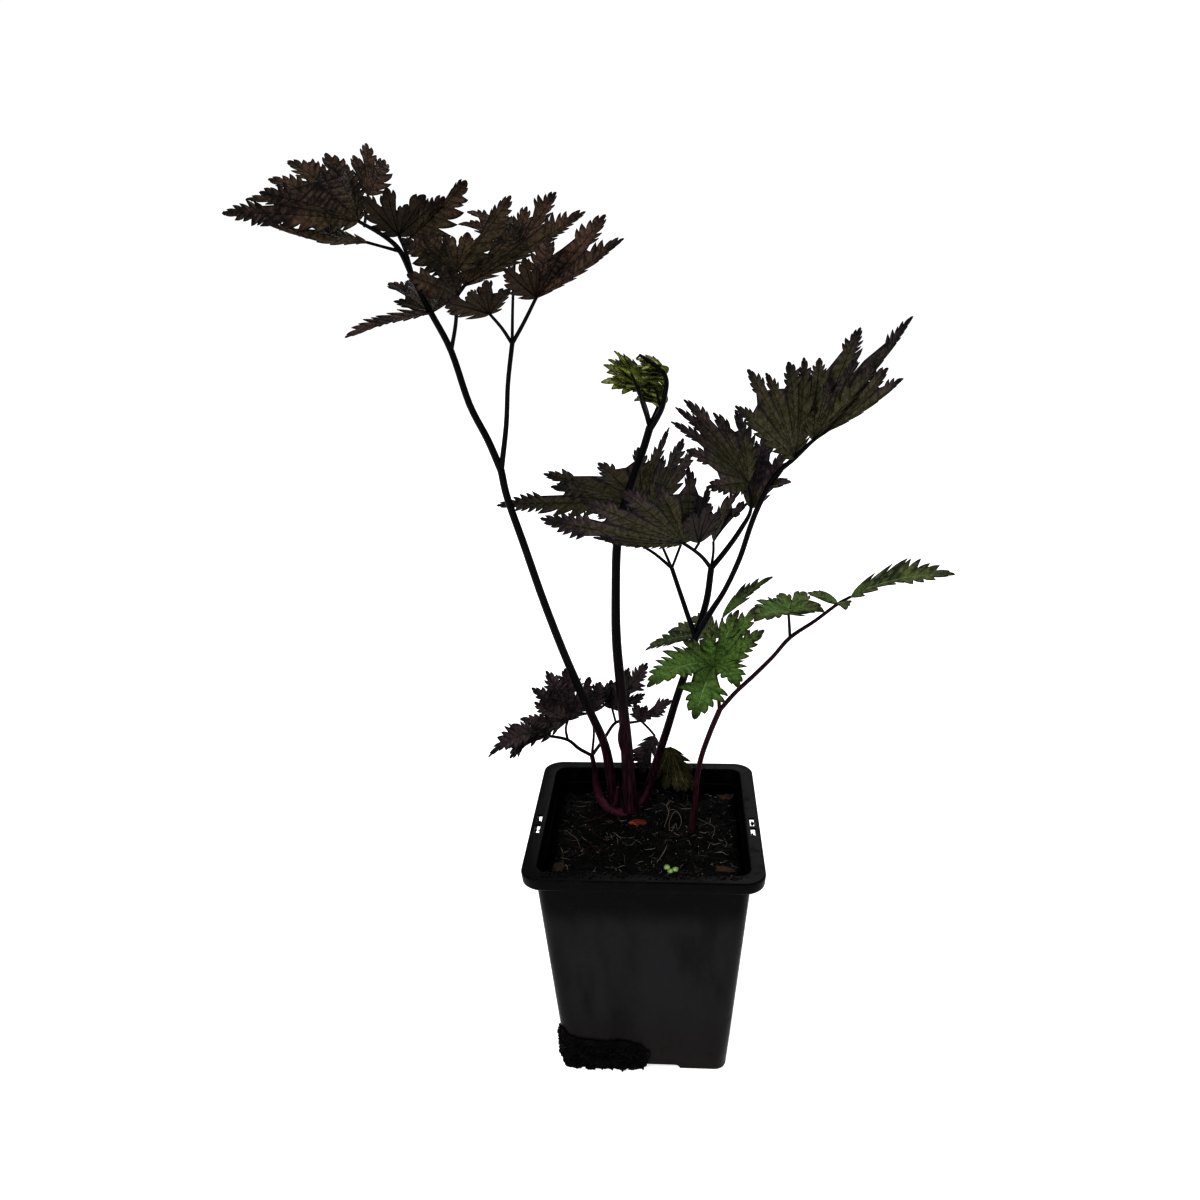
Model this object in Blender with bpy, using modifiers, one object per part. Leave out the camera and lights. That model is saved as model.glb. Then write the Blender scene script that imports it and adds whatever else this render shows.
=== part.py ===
"""Potted bugbane: a square nursery pot filled with compost, and five compound leaves with cut leaflets.

Lengths in the leaf tables are millimetres in the object's own frame: +Z up, -Y toward the viewer,
origin at the middle of the pot's base on the surface it stands on.
"""
import math

import bmesh
import bpy
import numpy as np
from mathutils import Matrix, Vector

MM = 0.001

# Pot, in metres
POT_HEIGHT = 0.118
RIM_HALF = 0.055
RIM_CORNER = 0.0095
SKIRT_HEIGHT = 0.0057
WALL = 0.0012
BODY_TOP_HALF = 0.0493
BODY_BASE_HALF = 0.0394
BODY_CORNER = 0.0055
STEP_HEIGHT = 0.1095
STEP_INSET = 0.0006
FLOOR_TOP = 0.0042
UNDERSIDE_RECESS = 0.0024
FOOT_ARCH = 0.0027
DRAIN_RADIUS = 0.0035
CORNER_STEPS = 3

# Compost
SOIL_LEVEL = 0.106
SOIL_SIDE_GAP = 0.0004
SOIL_CELLS = 12
HOLE_CLEARANCE = 0.0007

# Leaves
BLADE_THICKNESS = 0.0007
TOOTH_SPACING = 9.5
LOW_TOOTH_SPACING = 12.0
STRAIGHT_RIB = 1.5
BASE_SINK = 0.7
SLIVER_VOLUME = 1e-10
THICK_STALK = 1.05
NOTCH = 0.42
FOLD = 0.3
FACE = np.array((0.0, -0.35, 1.0))

# Colours of the leaf, stem, pot and compost, linear
DARK_LEAF = (0.030, 0.019, 0.018)
GREEN_LEAF = (0.060, 0.150, 0.030)
YOUNG_LEAF = (0.140, 0.200, 0.030)
WILTED_LEAF = (0.070, 0.060, 0.030)
BUD_RED = (0.350, 0.070, 0.030)
SEEDLING_GREEN = (0.250, 0.400, 0.120)
POT_BLACK = (0.010, 0.010, 0.011)
COMPOST = (0.022, 0.018, 0.015)
BARK = (0.120, 0.060, 0.030)

# Stalks are routes of (x, y, z, radius). Leaflets start at a numbered point of a stalk; each lobe
# is (bearing, rise, length, width), bearing in degrees from +X, after the leaflet's arch, the share
# of its length over which its lobes are joined, and the trim of its two outer edges.
TALL_STALKS = {
    "petiole": [(-15, 26, 107, 3.4), (-18, 26, 124, 2.8), (-21, 25, 144, 2.3), (-28, 23, 164, 2.1),
        (-38, 19, 193, 2), (-47, 14, 224, 1.9), (-55, 11, 254, 1.8), (-61, 9, 276, 1.7),
        (-63, 8, 289, 1.7)],
    "rachis": [(-63, 8, 289, 1.7), (-68, 7, 303, 1.6), (-75, 6, 319, 1.5), (-81, 4, 342, 1.4),
        (-88, 2, 358, 1.3), (-94, 0, 372, 1.2)],
    "terminal": [(-94, 0, 372, 1.2), (-98, -2, 383, 1.1), (-103, -6, 389, 0.9),
        (-112, -10, 395, 0.7)],
    "low_left": [(-98, -2, 383, 0.8), (-103, -9, 385, 0.6), (-108, -15, 387, 0.6)],
    "upright": [(-110, -9, 393, 0.6), (-111, 0, 399, 0.6), (-112, 8, 405, 0.6)],
    "mid_left": [(-94, 0, 372, 1), (-97, 3, 383, 0.8), (-99, 2, 389, 0.7)],
    "mid_right": [(-97, 3, 383, 0.8), (-96, 9, 388, 0.6)],
    "centre": [(-81, 4, 342, 0.9), (-77, -2, 354, 0.8), (-75, -6, 365, 0.7), (-75, -3, 375, 0.6)],
    "centre_right": [(-75, -6, 365, 0.7), (-72, -3, 369, 0.6)],
    "side": [(-63, 8, 289, 1.3), (-59, 4, 310, 1.1), (-57, 2, 328, 1), (-54, 0, 345, 1)],
    "side_left": [(-54, 0, 345, 0.8), (-57, -6, 352, 0.7), (-61, -10, 358, 0.6)],
    "side_mid": [(-54, 0, 345, 0.7), (-54, 8, 362, 0.6), (-53, 14, 381, 0.6)],
    "side_right": [(-54, 0, 345, 0.9), (-48, -4, 354, 0.8), (-42, -8, 364, 0.7)],
}
TALL_LEAVES = [
    ("terminal", 3, 0.05, 0.6, (1.0, 1.0), [(-140, 4, 54, 13), (-142, 16, 40, 13), (170, 66, 28, 16),
        (120, 55, 28, 9)]),
    ("terminal", 3, 0.08, 0.5, (1.0, 1.0), [(-163, 12, 43, 9), (-170, 26, 37, 12), (168, 39, 37, 15),
        (148, 41, 35, 12)]),
    ("upright", 2, 0.03, 0.5, (1.0, 1.0), [(137, 61, 18, 9), (100, 59, 24, 10), (78, 38, 23, 10)]),
    ("low_left", 2, -0.06, 0.5, (1.0, 1.0), [(-135, 11, 43, 13), (-159, 20, 27, 10)]),
    ("mid_left", 2, 0.02, 0.5, (1.0, 1.0), [(-116, 37, 25, 10), (-101, 66, 20, 14), (0, 69, 13, 10),
        (29, 51, 20, 13), (41, 34, 22, 10)]),
    ("mid_right", 1, 0.02, 0.5, (1.0, 1.0), [(33, 44, 23, 12), (34, 39, 35, 16)]),
    ("centre", 2, 0.05, 0.5, (1.0, 1.0), [(-118, 19, 31, 13), (-117, 46, 20, 10),
        (-129, 77, 12, 8)]),
    ("centre", 3, 0.02, 0.5, (1.0, 1.0), [(-132, 27, 29, 12), (-128, 42, 22, 15), (-111, 62, 16, 12),
        (-10, 68, 16, 12), (12, 50, 37, 13)]),
    ("centre_right", 1, -0.03, 0.55, (1.0, 0.4), [(56, 56, 15, 9), (39, 39, 35, 13),
        (31, 26, 63, 16)]),
    ("side_mid", 2, -0.02, 0.5, (1.0, 0.5), [(79, 45, 26, 9), (61, 37, 40, 14)]),
    ("side_mid", 2, 0.12, 0.5, (1.0, 1.0), [(149, 21, 33, 8), (137, 28, 36, 8), (114, 30, 30, 9)]),
    ("side_right", 2, 0.04, 0.5, (1.0, 1.0), [(-118, 31, 24, 9), (-106, 57, 19, 11),
        (-71, 71, 13, 8)]),
    ("side_right", 2, -0.02, 0.5, (1.0, 0.4), [(45, 71, 25, 13), (30, 44, 45, 15),
        (-9, 31, 43, 13)]),
    ("side_left", 2, 0.05, 0.5, (1.0, 1.0), [(-119, 13, 28, 10), (-106, 28, 21, 9),
        (-86, 59, 16, 12), (0, 47, 13, 11)]),
    ("rachis", 4, 0.03, 0.5, (1.0, 1.0), [(-134, -9, 42, 10)]),
    ("rachis", 4, 0.04, 0.5, (1.0, 1.0), [(151, 12, 21, 9), (138, 21, 32, 12), (118, 21, 34, 10),
        (81, 19, 24, 10)]),
]
OPENING_STALKS = {
    "petiole": [(-8, 20, 111, 3.8), (-9, 21, 132, 3.3), (-10, 22, 151, 2.9), (-12, 24, 175, 2.5),
        (-14, 27, 200, 2.3), (-14, 29, 225, 2.1), (-13, 30, 248, 2.1), (-10, 31, 264, 2),
        (-5, 31, 280, 1.9), (0, 30, 294, 1.8), (3, 28, 304, 1.8)],
    "crook": [(3, 28, 304, 1.4), (7, 27, 313, 1.2), (10, 25, 322, 1.1), (10, 22, 328, 1),
        (7, 18, 332, 0.8), (4, 15, 335, 0.7), (-1, 13, 338, 0.6)],
    "side": [(3, 28, 304, 1.2), (1, 23, 314, 1), (-2, 18, 322, 0.8)],
    "sheath": [(-10, 21, 139, 1.6), (-12, 20, 150, 2), (-11, 21, 160, 1.2)],
}
OPENING_LEAVES = [
    ("side", 2, 0.06, 0.5, (1.0, 1.0), [(-135, 53, 23, 7)]),
    ("side", 2, 0.06, 0.5, (1.0, 1.0), [(-127, 39, 25, 6)]),
    ("side", 2, 0.08, 0.5, (1.0, 1.0), [(-164, 38, 19, 6)]),
    ("side", 2, -0.08, 0.5, (1.0, 1.0), [(-148, 16, 20, 8)]),
    ("side", 2, 0.06, 0.5, (1.0, 1.0), [(-145, 66, 17, 7)]),
    ("side", 2, -0.08, 0.5, (1.0, 1.0), [(171, 16, 13, 6)]),
    ("side", 1, -0.2, 0.5, (1.0, 1.0), [(-134, 30, 11, 5)]),
    ("crook", 5, 0.12, 0.5, (1.0, 1.0), [(-128, -12, 12, 7)]),
    ("crook", 4, 0.12, 0.5, (1.0, 1.0), [(-131, -16, 17, 9)]),
    ("crook", 3, 0.12, 0.5, (1.0, 1.0), [(-141, -22, 17, 9)]),
    ("crook", 3, 0.1, 0.5, (1.0, 1.0), [(-136, -43, 16, 9)]),
    ("crook", 2, 0.1, 0.5, (1.0, 1.0), [(133, -46, 10, 7)]),
    ("crook", 4, 0.12, 0.5, (1.0, 1.0), [(144, -16, 14, 9)]),
]
RIGHT_STALKS = {
    "petiole": [(-3, 30, 106, 2.7), (2, 28, 122, 2.3), (7, 25, 141, 2.1), (11, 22, 156, 2),
        (15, 19, 172, 1.9), (20, 16, 190, 1.9), (24, 13, 207, 1.9)],
    "left": [(24, 13, 207, 1.3), (18, 9, 227, 1.1), (13, 5, 244, 1)],
    "left_a": [(13, 5, 244, 0.8), (6, 0, 252, 0.7), (0, -3, 257, 0.6)],
    "left_b": [(13, 5, 244, 0.7), (8, 20, 251, 0.6), (2, 38, 258, 0.6), (-2, 48, 262, 0.6)],
    "left_c": [(13, 5, 244, 0.6), (17, 2, 256, 0.6)],
    "black": [(24, 13, 207, 1.7), (29, 14, 225, 1.6), (31, 14, 241, 1.5)],
    "black_l": [(31, 14, 241, 1), (27, 8, 248, 0.9), (23, 3, 253, 0.8), (18, -2, 258, 0.8)],
    "black_s": [(23, 3, 253, 0.6), (25, 1, 257, 0.6)],
    "black_m": [(31, 14, 241, 0.7), (32, 16, 248, 0.6), (32, 17, 253, 0.6)],
    "black_r": [(31, 14, 241, 1.3), (38, 12, 251, 1.2), (44, 10, 261, 1.1), (48, 7, 271, 0.8),
        (46, 3, 284, 0.6)],
    "red": [(24, 13, 207, 1.6), (31, 8, 222, 1.4), (37, 4, 234, 1.2), (43, 0, 250, 1.2),
        (47, -3, 265, 1.2), (50, -6, 275, 1.2), (54, -9, 285, 1.2), (58, -11, 292, 1.1),
        (64, -13, 298, 1), (71, -16, 306, 0.8), (76, -18, 310, 0.6)],
}
RIGHT_LEAVES = [
    ("black_l", 3, 0.06, 0.55, (0.4, 1.0), [(-148, 12, 46, 11), (-144, 18, 75, 16),
        (-141, 28, 61, 13), (-140, 41, 45, 16), (-154, 65, 32, 12), (71, 79, 34, 11),
        (51, 51, 29, 9)]),
    ("left_a", 2, 0, 0.5, (1.0, 1.0), [(-157, 14, 18, 9)]),
    ("left_b", 3, 0.04, 0.5, (1.0, 1.0), [(-162, 5, 71, 14), (-164, 16, 46, 14), (-175, 20, 50, 12),
        (151, 37, 31, 14), (96, 54, 31, 12)]),
    ("left_b", 3, 0.03, 0.5, (1.0, 1.0), [(24, 68, 40, 6)]),
    ("left_b", 2, -0.02, 0.5, (1.0, 1.0), [(40, 73, 31, 9), (41, 59, 42, 13), (39, 47, 42, 9)]),
    ("black_s", 1, 0.05, 0.5, (1.0, 1.0), [(-110, 60, 19, 8), (-51, 69, 21, 10)]),
    ("black_m", 2, 0.04, 0.5, (1.0, 1.0), [(-22, 62, 18, 9), (-25, 50, 26, 9), (5, 63, 27, 9)]),
    ("black_r", 4, 0.05, 0.5, (1.0, 1.0), [(-132, 6, 28, 10), (-137, 28, 42, 11), (-148, 38, 50, 8),
        (-158, 46, 49, 8), (-162, 52, 48, 11), (-169, 63, 35, 11), (153, 78, 32, 11)]),
    ("black_r", 3, 0.03, 0.5, (1.0, 1.0), [(78, 65, 31, 9), (58, 64, 35, 12), (24, 55, 30, 9)]),
    ("red", 6, 0, 0.5, (1.0, 1.0), [(-18, 15, 10, 7)]),
    ("red", 8, 0.03, 0.62, (1.0, 1.0), [(-144, 38, 41, 9), (-148, 57, 46, 13), (-147, 66, 40, 10),
        (-167, 84, 40, 18), (61, 82, 41, 12)]),
    ("red", 9, 0.02, 0.6, (1.0, 1.0), [(80, 51, 39, 11), (53, 50, 55, 13)]),
    ("red", 9, -0.02, 0.6, (1.0, 0.5), [(56, 59, 28, 12), (29, 58, 38, 12), (-10, 54, 61, 14)]),
    ("red", 10, -0.05, 0.5, (0.5, 1.0), [(-35, 37, 39, 10)]),
]
GREEN_STALKS = {
    "petiole": [(22, 6, 101, 1.7), (24, 5, 120, 1.5), (25, 3, 136, 1.4), (27, 0, 151, 1.3),
        (31, -3, 166, 1.3), (35, -5, 178, 1.3)],
    "up": [(35, -5, 178, 0.9), (34, -7, 190, 0.8), (32, -10, 202, 0.7)],
    "back": [(32, -10, 202, 0.6), (35, 8, 203, 0.6), (37, 22, 204, 0.6), (37, 26, 212, 0.6)],
    "right": [(35, -5, 178, 1.1), (42, -7, 188, 1), (50, -10, 198, 1), (58, -12, 208, 0.9),
        (65, -14, 218, 0.9), (75, -17, 227, 0.8), (84, -20, 236, 0.7), (89, -22, 240, 0.6)],
    "mid": [(65, -14, 218, 0.7), (64, -14, 229, 0.6)],
}
GREEN_LEAVES = [
    ("up", 2, 0.12, 0.5, (1.0, 1.0), [(-130, 7, 46, 17), (-104, -11, 40, 22), (-72, 5, 30, 14)]),
    ("up", 2, 0.02, 0.5, (1.0, 1.0), [(172, 41, 19, 11), (136, 51, 14, 9)]),
    ("back", 2, 0.1, 0.5, (1.0, 1.0), [(157, -19, 43, 11), (140, -11, 35, 9), (120, -1, 30, 9)]),
    ("up", 2, 0.02, 0.5, (1.0, 1.0), [(140, 80, 19, 9), (11, 68, 29, 12), (-6, 58, 36, 9),
        (-25, 43, 32, 10)]),
    ("back", 3, 0.05, 0.5, (1.0, 1.0), [(-15, 44, 33, 9)]),
    ("mid", 1, 0.12, 0.5, (1.0, 1.0), [(-130, 9, 26, 14)]),
    ("mid", 1, 0.1, 0.5, (1.0, 1.0), [(-42, 17, 19, 11)]),
    ("mid", 1, 0.03, 0.5, (1.0, 1.0), [(146, 20, 12, 9), (99, 19, 15, 10), (61, 14, 19, 11),
        (37, 4, 13, 9)]),
    ("right", 6, 0.05, 0.5, (1.0, 1.0), [(154, 12, 14, 6)]),
    ("right", 6, 0.1, 0.5, (1.0, 1.0), [(-85, 10, 14, 8)]),
    ("right", 7, 0.07, 0.5, (1.0, 1.0), [(-31, 22, 46, 16)]),
]
LOW_STALKS = {
    "petiole": [(-23, 33, 103, 1.9), (-26, 32, 118, 1.5), (-27, 31, 128, 1.3), (-28, 30, 135, 1.2)],
    "left": [(-28, 30, 135, 0.9), (-34, 26, 141, 0.9), (-39, 20, 149, 0.8), (-47, 14, 154, 0.7),
        (-53, 10, 156, 0.6)],
    "left_up": [(-39, 20, 149, 0.7), (-40, 22, 154, 0.6), (-39, 24, 158, 0.6)],
    "up": [(-28, 30, 135, 0.7), (-27, 34, 146, 0.6), (-28, 37, 156, 0.6)],
    "right": [(-28, 30, 135, 0.9), (-22, 35, 142, 0.8), (-16, 40, 149, 0.8), (-9, 42, 148, 0.7),
        (-3, 42, 149, 0.6)],
    "right_b": [(-16, 40, 149, 0.6), (-18, 44, 155, 0.6)],
    "right_c": [(-3, 42, 149, 0.6), (1, 43, 144, 0.6), (4, 43, 140, 0.6)],
}
LOW_LEAVES = [
    ("left", 4, 0.12, 0.5, (1.0, 1.0), [(-147, -28, 17, 8)]),
    ("left", 3, 0.2, 0.5, (1.0, 1.0), [(-144, -2, 34, 11)]),
    ("left", 3, 0.1, 0.5, (1.0, 1.0), [(-163, 18, 22, 9), (170, 35, 14, 9)]),
    ("left_up", 2, 0.1, 0.5, (1.0, 1.0), [(-152, 14, 26, 9), (-153, 38, 22, 10)]),
    ("left_up", 2, 0.06, 0.5, (1.0, 1.0), [(-167, 48, 26, 10), (169, 68, 28, 12), (99, 67, 26, 14),
        (61, 37, 26, 11)]),
    ("up", 2, 0.08, 0.5, (1.0, 1.0), [(122, 52, 13, 9), (71, 46, 17, 10)]),
    ("right_b", 1, 0.08, 0.5, (1.0, 1.0), [(137, 52, 14, 8), (96, 57, 15, 9), (64, 51, 14, 8)]),
    ("right_b", 1, 0.06, 0.5, (1.0, 1.0), [(43, 59, 23, 8), (29, 46, 30, 11), (20, 17, 19, 6)]),
    ("right", 4, 0.08, 0.5, (1.0, 1.0), [(133, 58, 10, 6), (64, 43, 9, 6), (-7, 37, 21, 9)]),
    ("right_c", 2, 0.12, 0.5, (1.0, 1.0), [(-151, -68, 22, 12)]),
]
WILTED_STALKS = {
    "stalk": [(19, 39, 105, 0.9), (18, 40, 114, 0.8), (12, 38, 136, 0.7)],
}
WILTED_LEAVES = [
    ("stalk", 2, 0.08, 0.5, (1.0, 1.0), [(-141, -65, 23, 12), (-64, -79, 24, 15),
        (6, -67, 27, 11)]),
]


def unit(vector):
    """Vector of length one."""
    return vector / max(np.linalg.norm(vector), 1e-9)


def polar(lobe):
    """Lobe as a vector from its leaflet's base to its tip."""
    bearing = math.radians(lobe[0])
    rise = math.radians(lobe[1])
    flat = math.cos(rise)
    return lobe[2] * np.array((math.cos(bearing) * flat, math.sin(bearing) * flat, math.sin(rise)))


def swell(t):
    """Share of a lobe's half width at the share t of its length."""
    return math.sin(math.pi * min(max(t, 0.0), 1.0) ** 0.8) ** 0.75


class Leaflet:
    """Middle surface of one leaflet: lobes that fan from its base, joined low down, toothed above."""

    def __init__(self, base, arch, joined, trim, lobes):
        self.base = np.array(base, float)
        self.arch = arch
        self.joined = joined
        self.trim = trim
        self.ribs = [polar(lobe) for lobe in lobes]
        self.halves = [lobe[3] / 2 for lobe in lobes]
        self.points = [self.base]
        self.triangles = []
        self.turn = 1.0
        self.find_directions()
        self.find_sinuses()

    def find_directions(self):
        """Leaf normal, and for each lobe its upward and sideways directions."""
        normal = np.zeros(3)
        for one, other in zip(self.ribs[:-1], self.ribs[1:]):
            normal = normal + np.cross(other, one)
        if len(self.ribs) == 1:
            along = unit(self.ribs[0])
            normal = FACE - along * (FACE @ along)
        elif normal @ FACE < 0:
            normal = -normal
            self.turn = -1.0
        self.normal = unit(normal)
        self.ups = []
        self.sides = []
        for rib in self.ribs:
            along = unit(rib)
            up = unit(self.normal - along * (self.normal @ along))
            self.ups.append(up)
            self.sides.append(np.cross(along, up) * self.turn)

    def add(self, point):
        self.points.append(point)
        return len(self.points) - 1

    def rib_point(self, lobe, t):
        """Point of a lobe's midrib at the share t of its length."""
        length = np.linalg.norm(self.ribs[lobe])
        lift = self.ups[lobe] * 4 * self.arch * length * t * (1 - t)
        return self.base + self.ribs[lobe] * t + lift

    def find_sinuses(self):
        """Half angle and the bottom of the cut between each two neighbouring lobes."""
        count = len(self.ribs)
        self.gaps = [None] * (count + 1)
        self.sinuses = [None] * (count + 1)
        for lobe in range(count - 1):
            cosine = unit(self.ribs[lobe]) @ unit(self.ribs[lobe + 1])
            self.gaps[lobe + 1] = math.acos(max(-1.0, min(1.0, cosine))) / 2
            one = self.rib_point(lobe, self.joined)
            other = self.rib_point(lobe + 1, self.joined)
            lift = self.normal * FOLD * 0.35 * np.linalg.norm(one - other)
            self.sinuses[lobe + 1] = self.add((one + other) / 2 + lift)

    def margin(self, lobe, side, t, reach):
        """Point of a lobe's edge, kept on its own side of the line halfway to its neighbour."""
        length = np.linalg.norm(self.ribs[lobe])
        width = self.halves[lobe] * swell(t) * reach
        gap = self.gaps[lobe + 1] if side > 0 else self.gaps[lobe]
        if gap is None:
            width *= self.trim[1] if side > 0 else self.trim[0]
        else:
            room = 0.92 * t * length * math.tan(min(gap, 1.2))
            width = min(width, room if reach > 0.8 else room * 0.8)
        offset = self.sides[lobe] * side * width + self.ups[lobe] * FOLD * width
        return self.add(self.rib_point(lobe, t) + offset)

    def outer_base(self, lobe, side, middle, first, face):
        """Toothed edge from the leaflet's base up to where its lobes part."""
        length = np.linalg.norm(self.ribs[lobe])
        count = max(1, int(round(length * self.joined / LOW_TOOTH_SPACING)))
        chain = [0]
        for k in range(count):
            low = self.joined * (k + 0.3) / count
            high = self.joined * (k + 1) / count
            chain.append(self.margin(lobe, side, low, 1 - NOTCH if k else 0.8))
            chain.append(self.margin(lobe, side, high, 1.0))
        chain.append(self.margin(lobe, side, self.joined + 0.03, 1 - NOTCH))
        cut = len(chain) // 2
        for one, other in zip(chain[:cut], chain[1:cut + 1]):
            face(middle, one, other)
        if middle != first:
            face(middle, chain[cut], first)
        for one, other in zip(chain[cut:-1], chain[cut + 1:]):
            face(first, one, other)
        return chain[-1]

    def half_lobe(self, lobe, side, middle, line, steps):
        """Triangles of one side of a lobe, from the leaflet's base to the lobe's tip."""
        def face(a, b, c):
            self.triangles.append((a, b, c) if side * self.turn < 0 else (a, c, b))

        last = self.sinuses[lobe + 1] if side > 0 else self.sinuses[lobe]
        if last is None:
            last = self.outer_base(lobe, side, middle, line[0], face)
        else:
            face(middle, 0, last)
            if middle != line[0]:
                face(middle, last, line[0])
        teeth = len(steps) - 1
        for k in range(teeth - 1):
            t = steps[k + 1]
            tip = self.margin(lobe, side, t + 0.12 * (1 - self.joined) / teeth, 1.0)
            notch = self.margin(lobe, side, t, 1 - NOTCH)
            face(line[k], last, tip)
            face(line[k], tip, line[k + 1])
            face(line[k + 1], tip, notch)
            last = notch
        face(line[teeth - 1], last, line[teeth])

    def build(self):
        """Points in millimetres and triangles of the middle surface."""
        for lobe, rib in enumerate(self.ribs):
            length = np.linalg.norm(rib)
            teeth = max(2, int(round(length * (1 - self.joined * 0.6) / TOOTH_SPACING)))
            steps = [self.joined + (1 - self.joined) * k / teeth for k in range(teeth + 1)]
            line = [self.add(self.rib_point(lobe, t)) for t in steps]
            bent = length * max(abs(self.arch), 0.03) > STRAIGHT_RIB
            middle = self.add(self.rib_point(lobe, self.joined / 2)) if bent else line[0]
            for side in (-1, 1):
                self.half_lobe(lobe, side, middle, line, steps)
        return self.points, self.triangles


def clear_scene():
    """Remove every object."""
    for item in list(bpy.data.objects):
        bpy.data.objects.remove(item, do_unlink=True)


def make_collection(name):
    """New collection in the scene."""
    collection = bpy.data.collections.new(name)
    bpy.context.scene.collection.children.link(collection)
    return collection


def shade_smooth(mesh):
    """Smooth shading, with the edges of more than 35 degrees kept sharp."""
    mesh.shade_smooth()
    mesh.set_sharp_from_angle(angle=math.radians(35))


def make_material(name, colour, roughness, metallic=0.0):
    """Plain surface with a colour, a roughness and a metallic value."""
    material = bpy.data.materials.new(name)
    material.use_nodes = True
    shader = material.node_tree.nodes["Principled BSDF"]
    shader.inputs["Base Color"].default_value = (*colour, 1.0)
    shader.inputs["Roughness"].default_value = roughness
    shader.inputs["Metallic"].default_value = metallic
    return material


def add_mesh(name, points, faces, collection, material=None):
    """Mesh object from points in metres and faces."""
    mesh = bpy.data.meshes.new(name)
    mesh.from_pydata([tuple(point) for point in points], [], [tuple(face) for face in faces])
    mesh.validate()
    mesh.update()
    item = bpy.data.objects.new(name, mesh)
    if material is not None:
        mesh.materials.append(material)
    collection.objects.link(item)
    return item


def evaluated_copy(item, name, collection, weld=0.0):
    """Plain mesh object with the item's modifiers applied; the item itself goes."""
    graph = bpy.context.evaluated_depsgraph_get()
    mesh = bpy.data.meshes.new_from_object(item.evaluated_get(graph))
    if weld > 0:
        shape = bmesh.new()
        shape.from_mesh(mesh)
        bmesh.ops.remove_doubles(shape, verts=shape.verts, dist=weld)
        shape.to_mesh(mesh)
        shape.free()
    place = item.matrix_world.copy()
    bpy.data.objects.remove(item, do_unlink=True)
    copy = bpy.data.objects.new(name, mesh)
    copy.matrix_world = place
    collection.objects.link(copy)
    return copy


def add_stalk(name, route, collection, extra=0.0, resolution=1):
    """Tapering round stalk along a route in millimetres."""
    curve = bpy.data.curves.new(name, "CURVE")
    curve.dimensions = "3D"
    curve.bevel_depth = MM
    curve.bevel_resolution = resolution
    curve.use_fill_caps = True
    spline = curve.splines.new("POLY")
    spline.points.add(len(route) - 1)
    for point, (x, y, z, radius) in zip(spline.points, route):
        point.co = (x * MM, y * MM, z * MM, 1.0)
        point.radius = radius + extra / MM
    item = bpy.data.objects.new(name, curve)
    collection.objects.link(item)
    bpy.context.view_layer.update()
    return evaluated_copy(item, name, collection, weld=0.00001)


def add_leaflet(name, base, row, collection):
    """Closed sheet of one leaflet."""
    spread = unit(sum(polar(lobe) for lobe in row[5]))
    sunk = np.array(base, float) - spread * BASE_SINK
    points, triangles = Leaflet(sunk, row[2], row[3], row[4], row[5]).build()
    item = add_mesh(name, [point * MM for point in points], triangles, collection)
    sheet = item.modifiers.new("Thickness", "SOLIDIFY")
    sheet.thickness = BLADE_THICKNESS
    sheet.offset = 0.0
    sheet.use_even_offset = False
    bpy.context.view_layer.update()
    return evaluated_copy(item, name, collection)


def drop_pockets(mesh):
    """Remove the pockets and slivers left where blades cross; what is left is one outer skin."""
    shape = bmesh.new()
    shape.from_mesh(mesh)
    waiting = set(shape.faces)
    spare = []
    while waiting:
        island = set()
        edge_of_island = [waiting.pop()]
        while edge_of_island:
            face = edge_of_island.pop()
            island.add(face)
            for edge in face.edges:
                if len(edge.link_faces) != 2:
                    continue
                for other in edge.link_faces:
                    if other in waiting:
                        waiting.discard(other)
                        edge_of_island.append(other)
        volume = 0.0
        for face in island:
            first = face.verts[0].co
            for k in range(1, len(face.verts) - 1):
                volume += first.dot(face.verts[k].co.cross(face.verts[k + 1].co)) / 6
        if volume < SLIVER_VOLUME:
            spare.extend(island)
    bmesh.ops.delete(shape, geom=spare, context="FACES")
    loose = [vertex for vertex in shape.verts if not vertex.link_faces]
    bmesh.ops.delete(shape, geom=loose, context="VERTS")
    shape.to_mesh(mesh)
    shape.free()


def fuse(name, pieces, parts, material, solver="EXACT"):
    """One solid from the pieces of a collection, which is removed."""
    first = pieces.objects[0]
    pieces.objects.unlink(first)
    parts.objects.link(first)
    first.name = name
    union = first.modifiers.new("Fuse", "BOOLEAN")
    union.operation = "UNION"
    union.operand_type = "COLLECTION"
    union.collection = pieces
    union.solver = solver
    bpy.context.view_layer.update()
    solid = evaluated_copy(first, name, parts)
    for piece in list(pieces.objects):
        bpy.data.objects.remove(piece, do_unlink=True)
    bpy.data.collections.remove(pieces)
    drop_pockets(solid.data)
    solid.data.materials.clear()
    solid.data.materials.append(material)
    return solid


def add_frond(name, stalks, leaves, parts, material, solver):
    """A leaf with its petiole, forks and leaflets fused into one solid."""
    pieces = make_collection(name + "_pieces")
    for label, route in stalks.items():
        thick = max(point[3] for point in route) > THICK_STALK
        add_stalk(name + "_" + label, route, pieces, resolution=1 if thick else 0)
    for index, row in enumerate(leaves):
        base = stalks[row[0]][row[1]][:3]
        add_leaflet("%s_leaflet_%d" % (name, index), base, row, pieces)
    return fuse(name, pieces, parts, material, solver)


def square_ring(half, corner, z, steps=CORNER_STEPS):
    """Points of a rounded square, counter-clockwise."""
    points = []
    for quarter in range(4):
        middle = math.pi / 4 + quarter * math.pi / 2
        centre = (half - corner) * math.sqrt(2)
        for k in range(steps + 1):
            angle = quarter * math.pi / 2 + math.pi / 2 * k / steps
            x = centre * math.cos(middle) + corner * math.cos(angle)
            y = centre * math.sin(middle) + corner * math.sin(angle)
            points.append((x, y, z))
    return points


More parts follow.
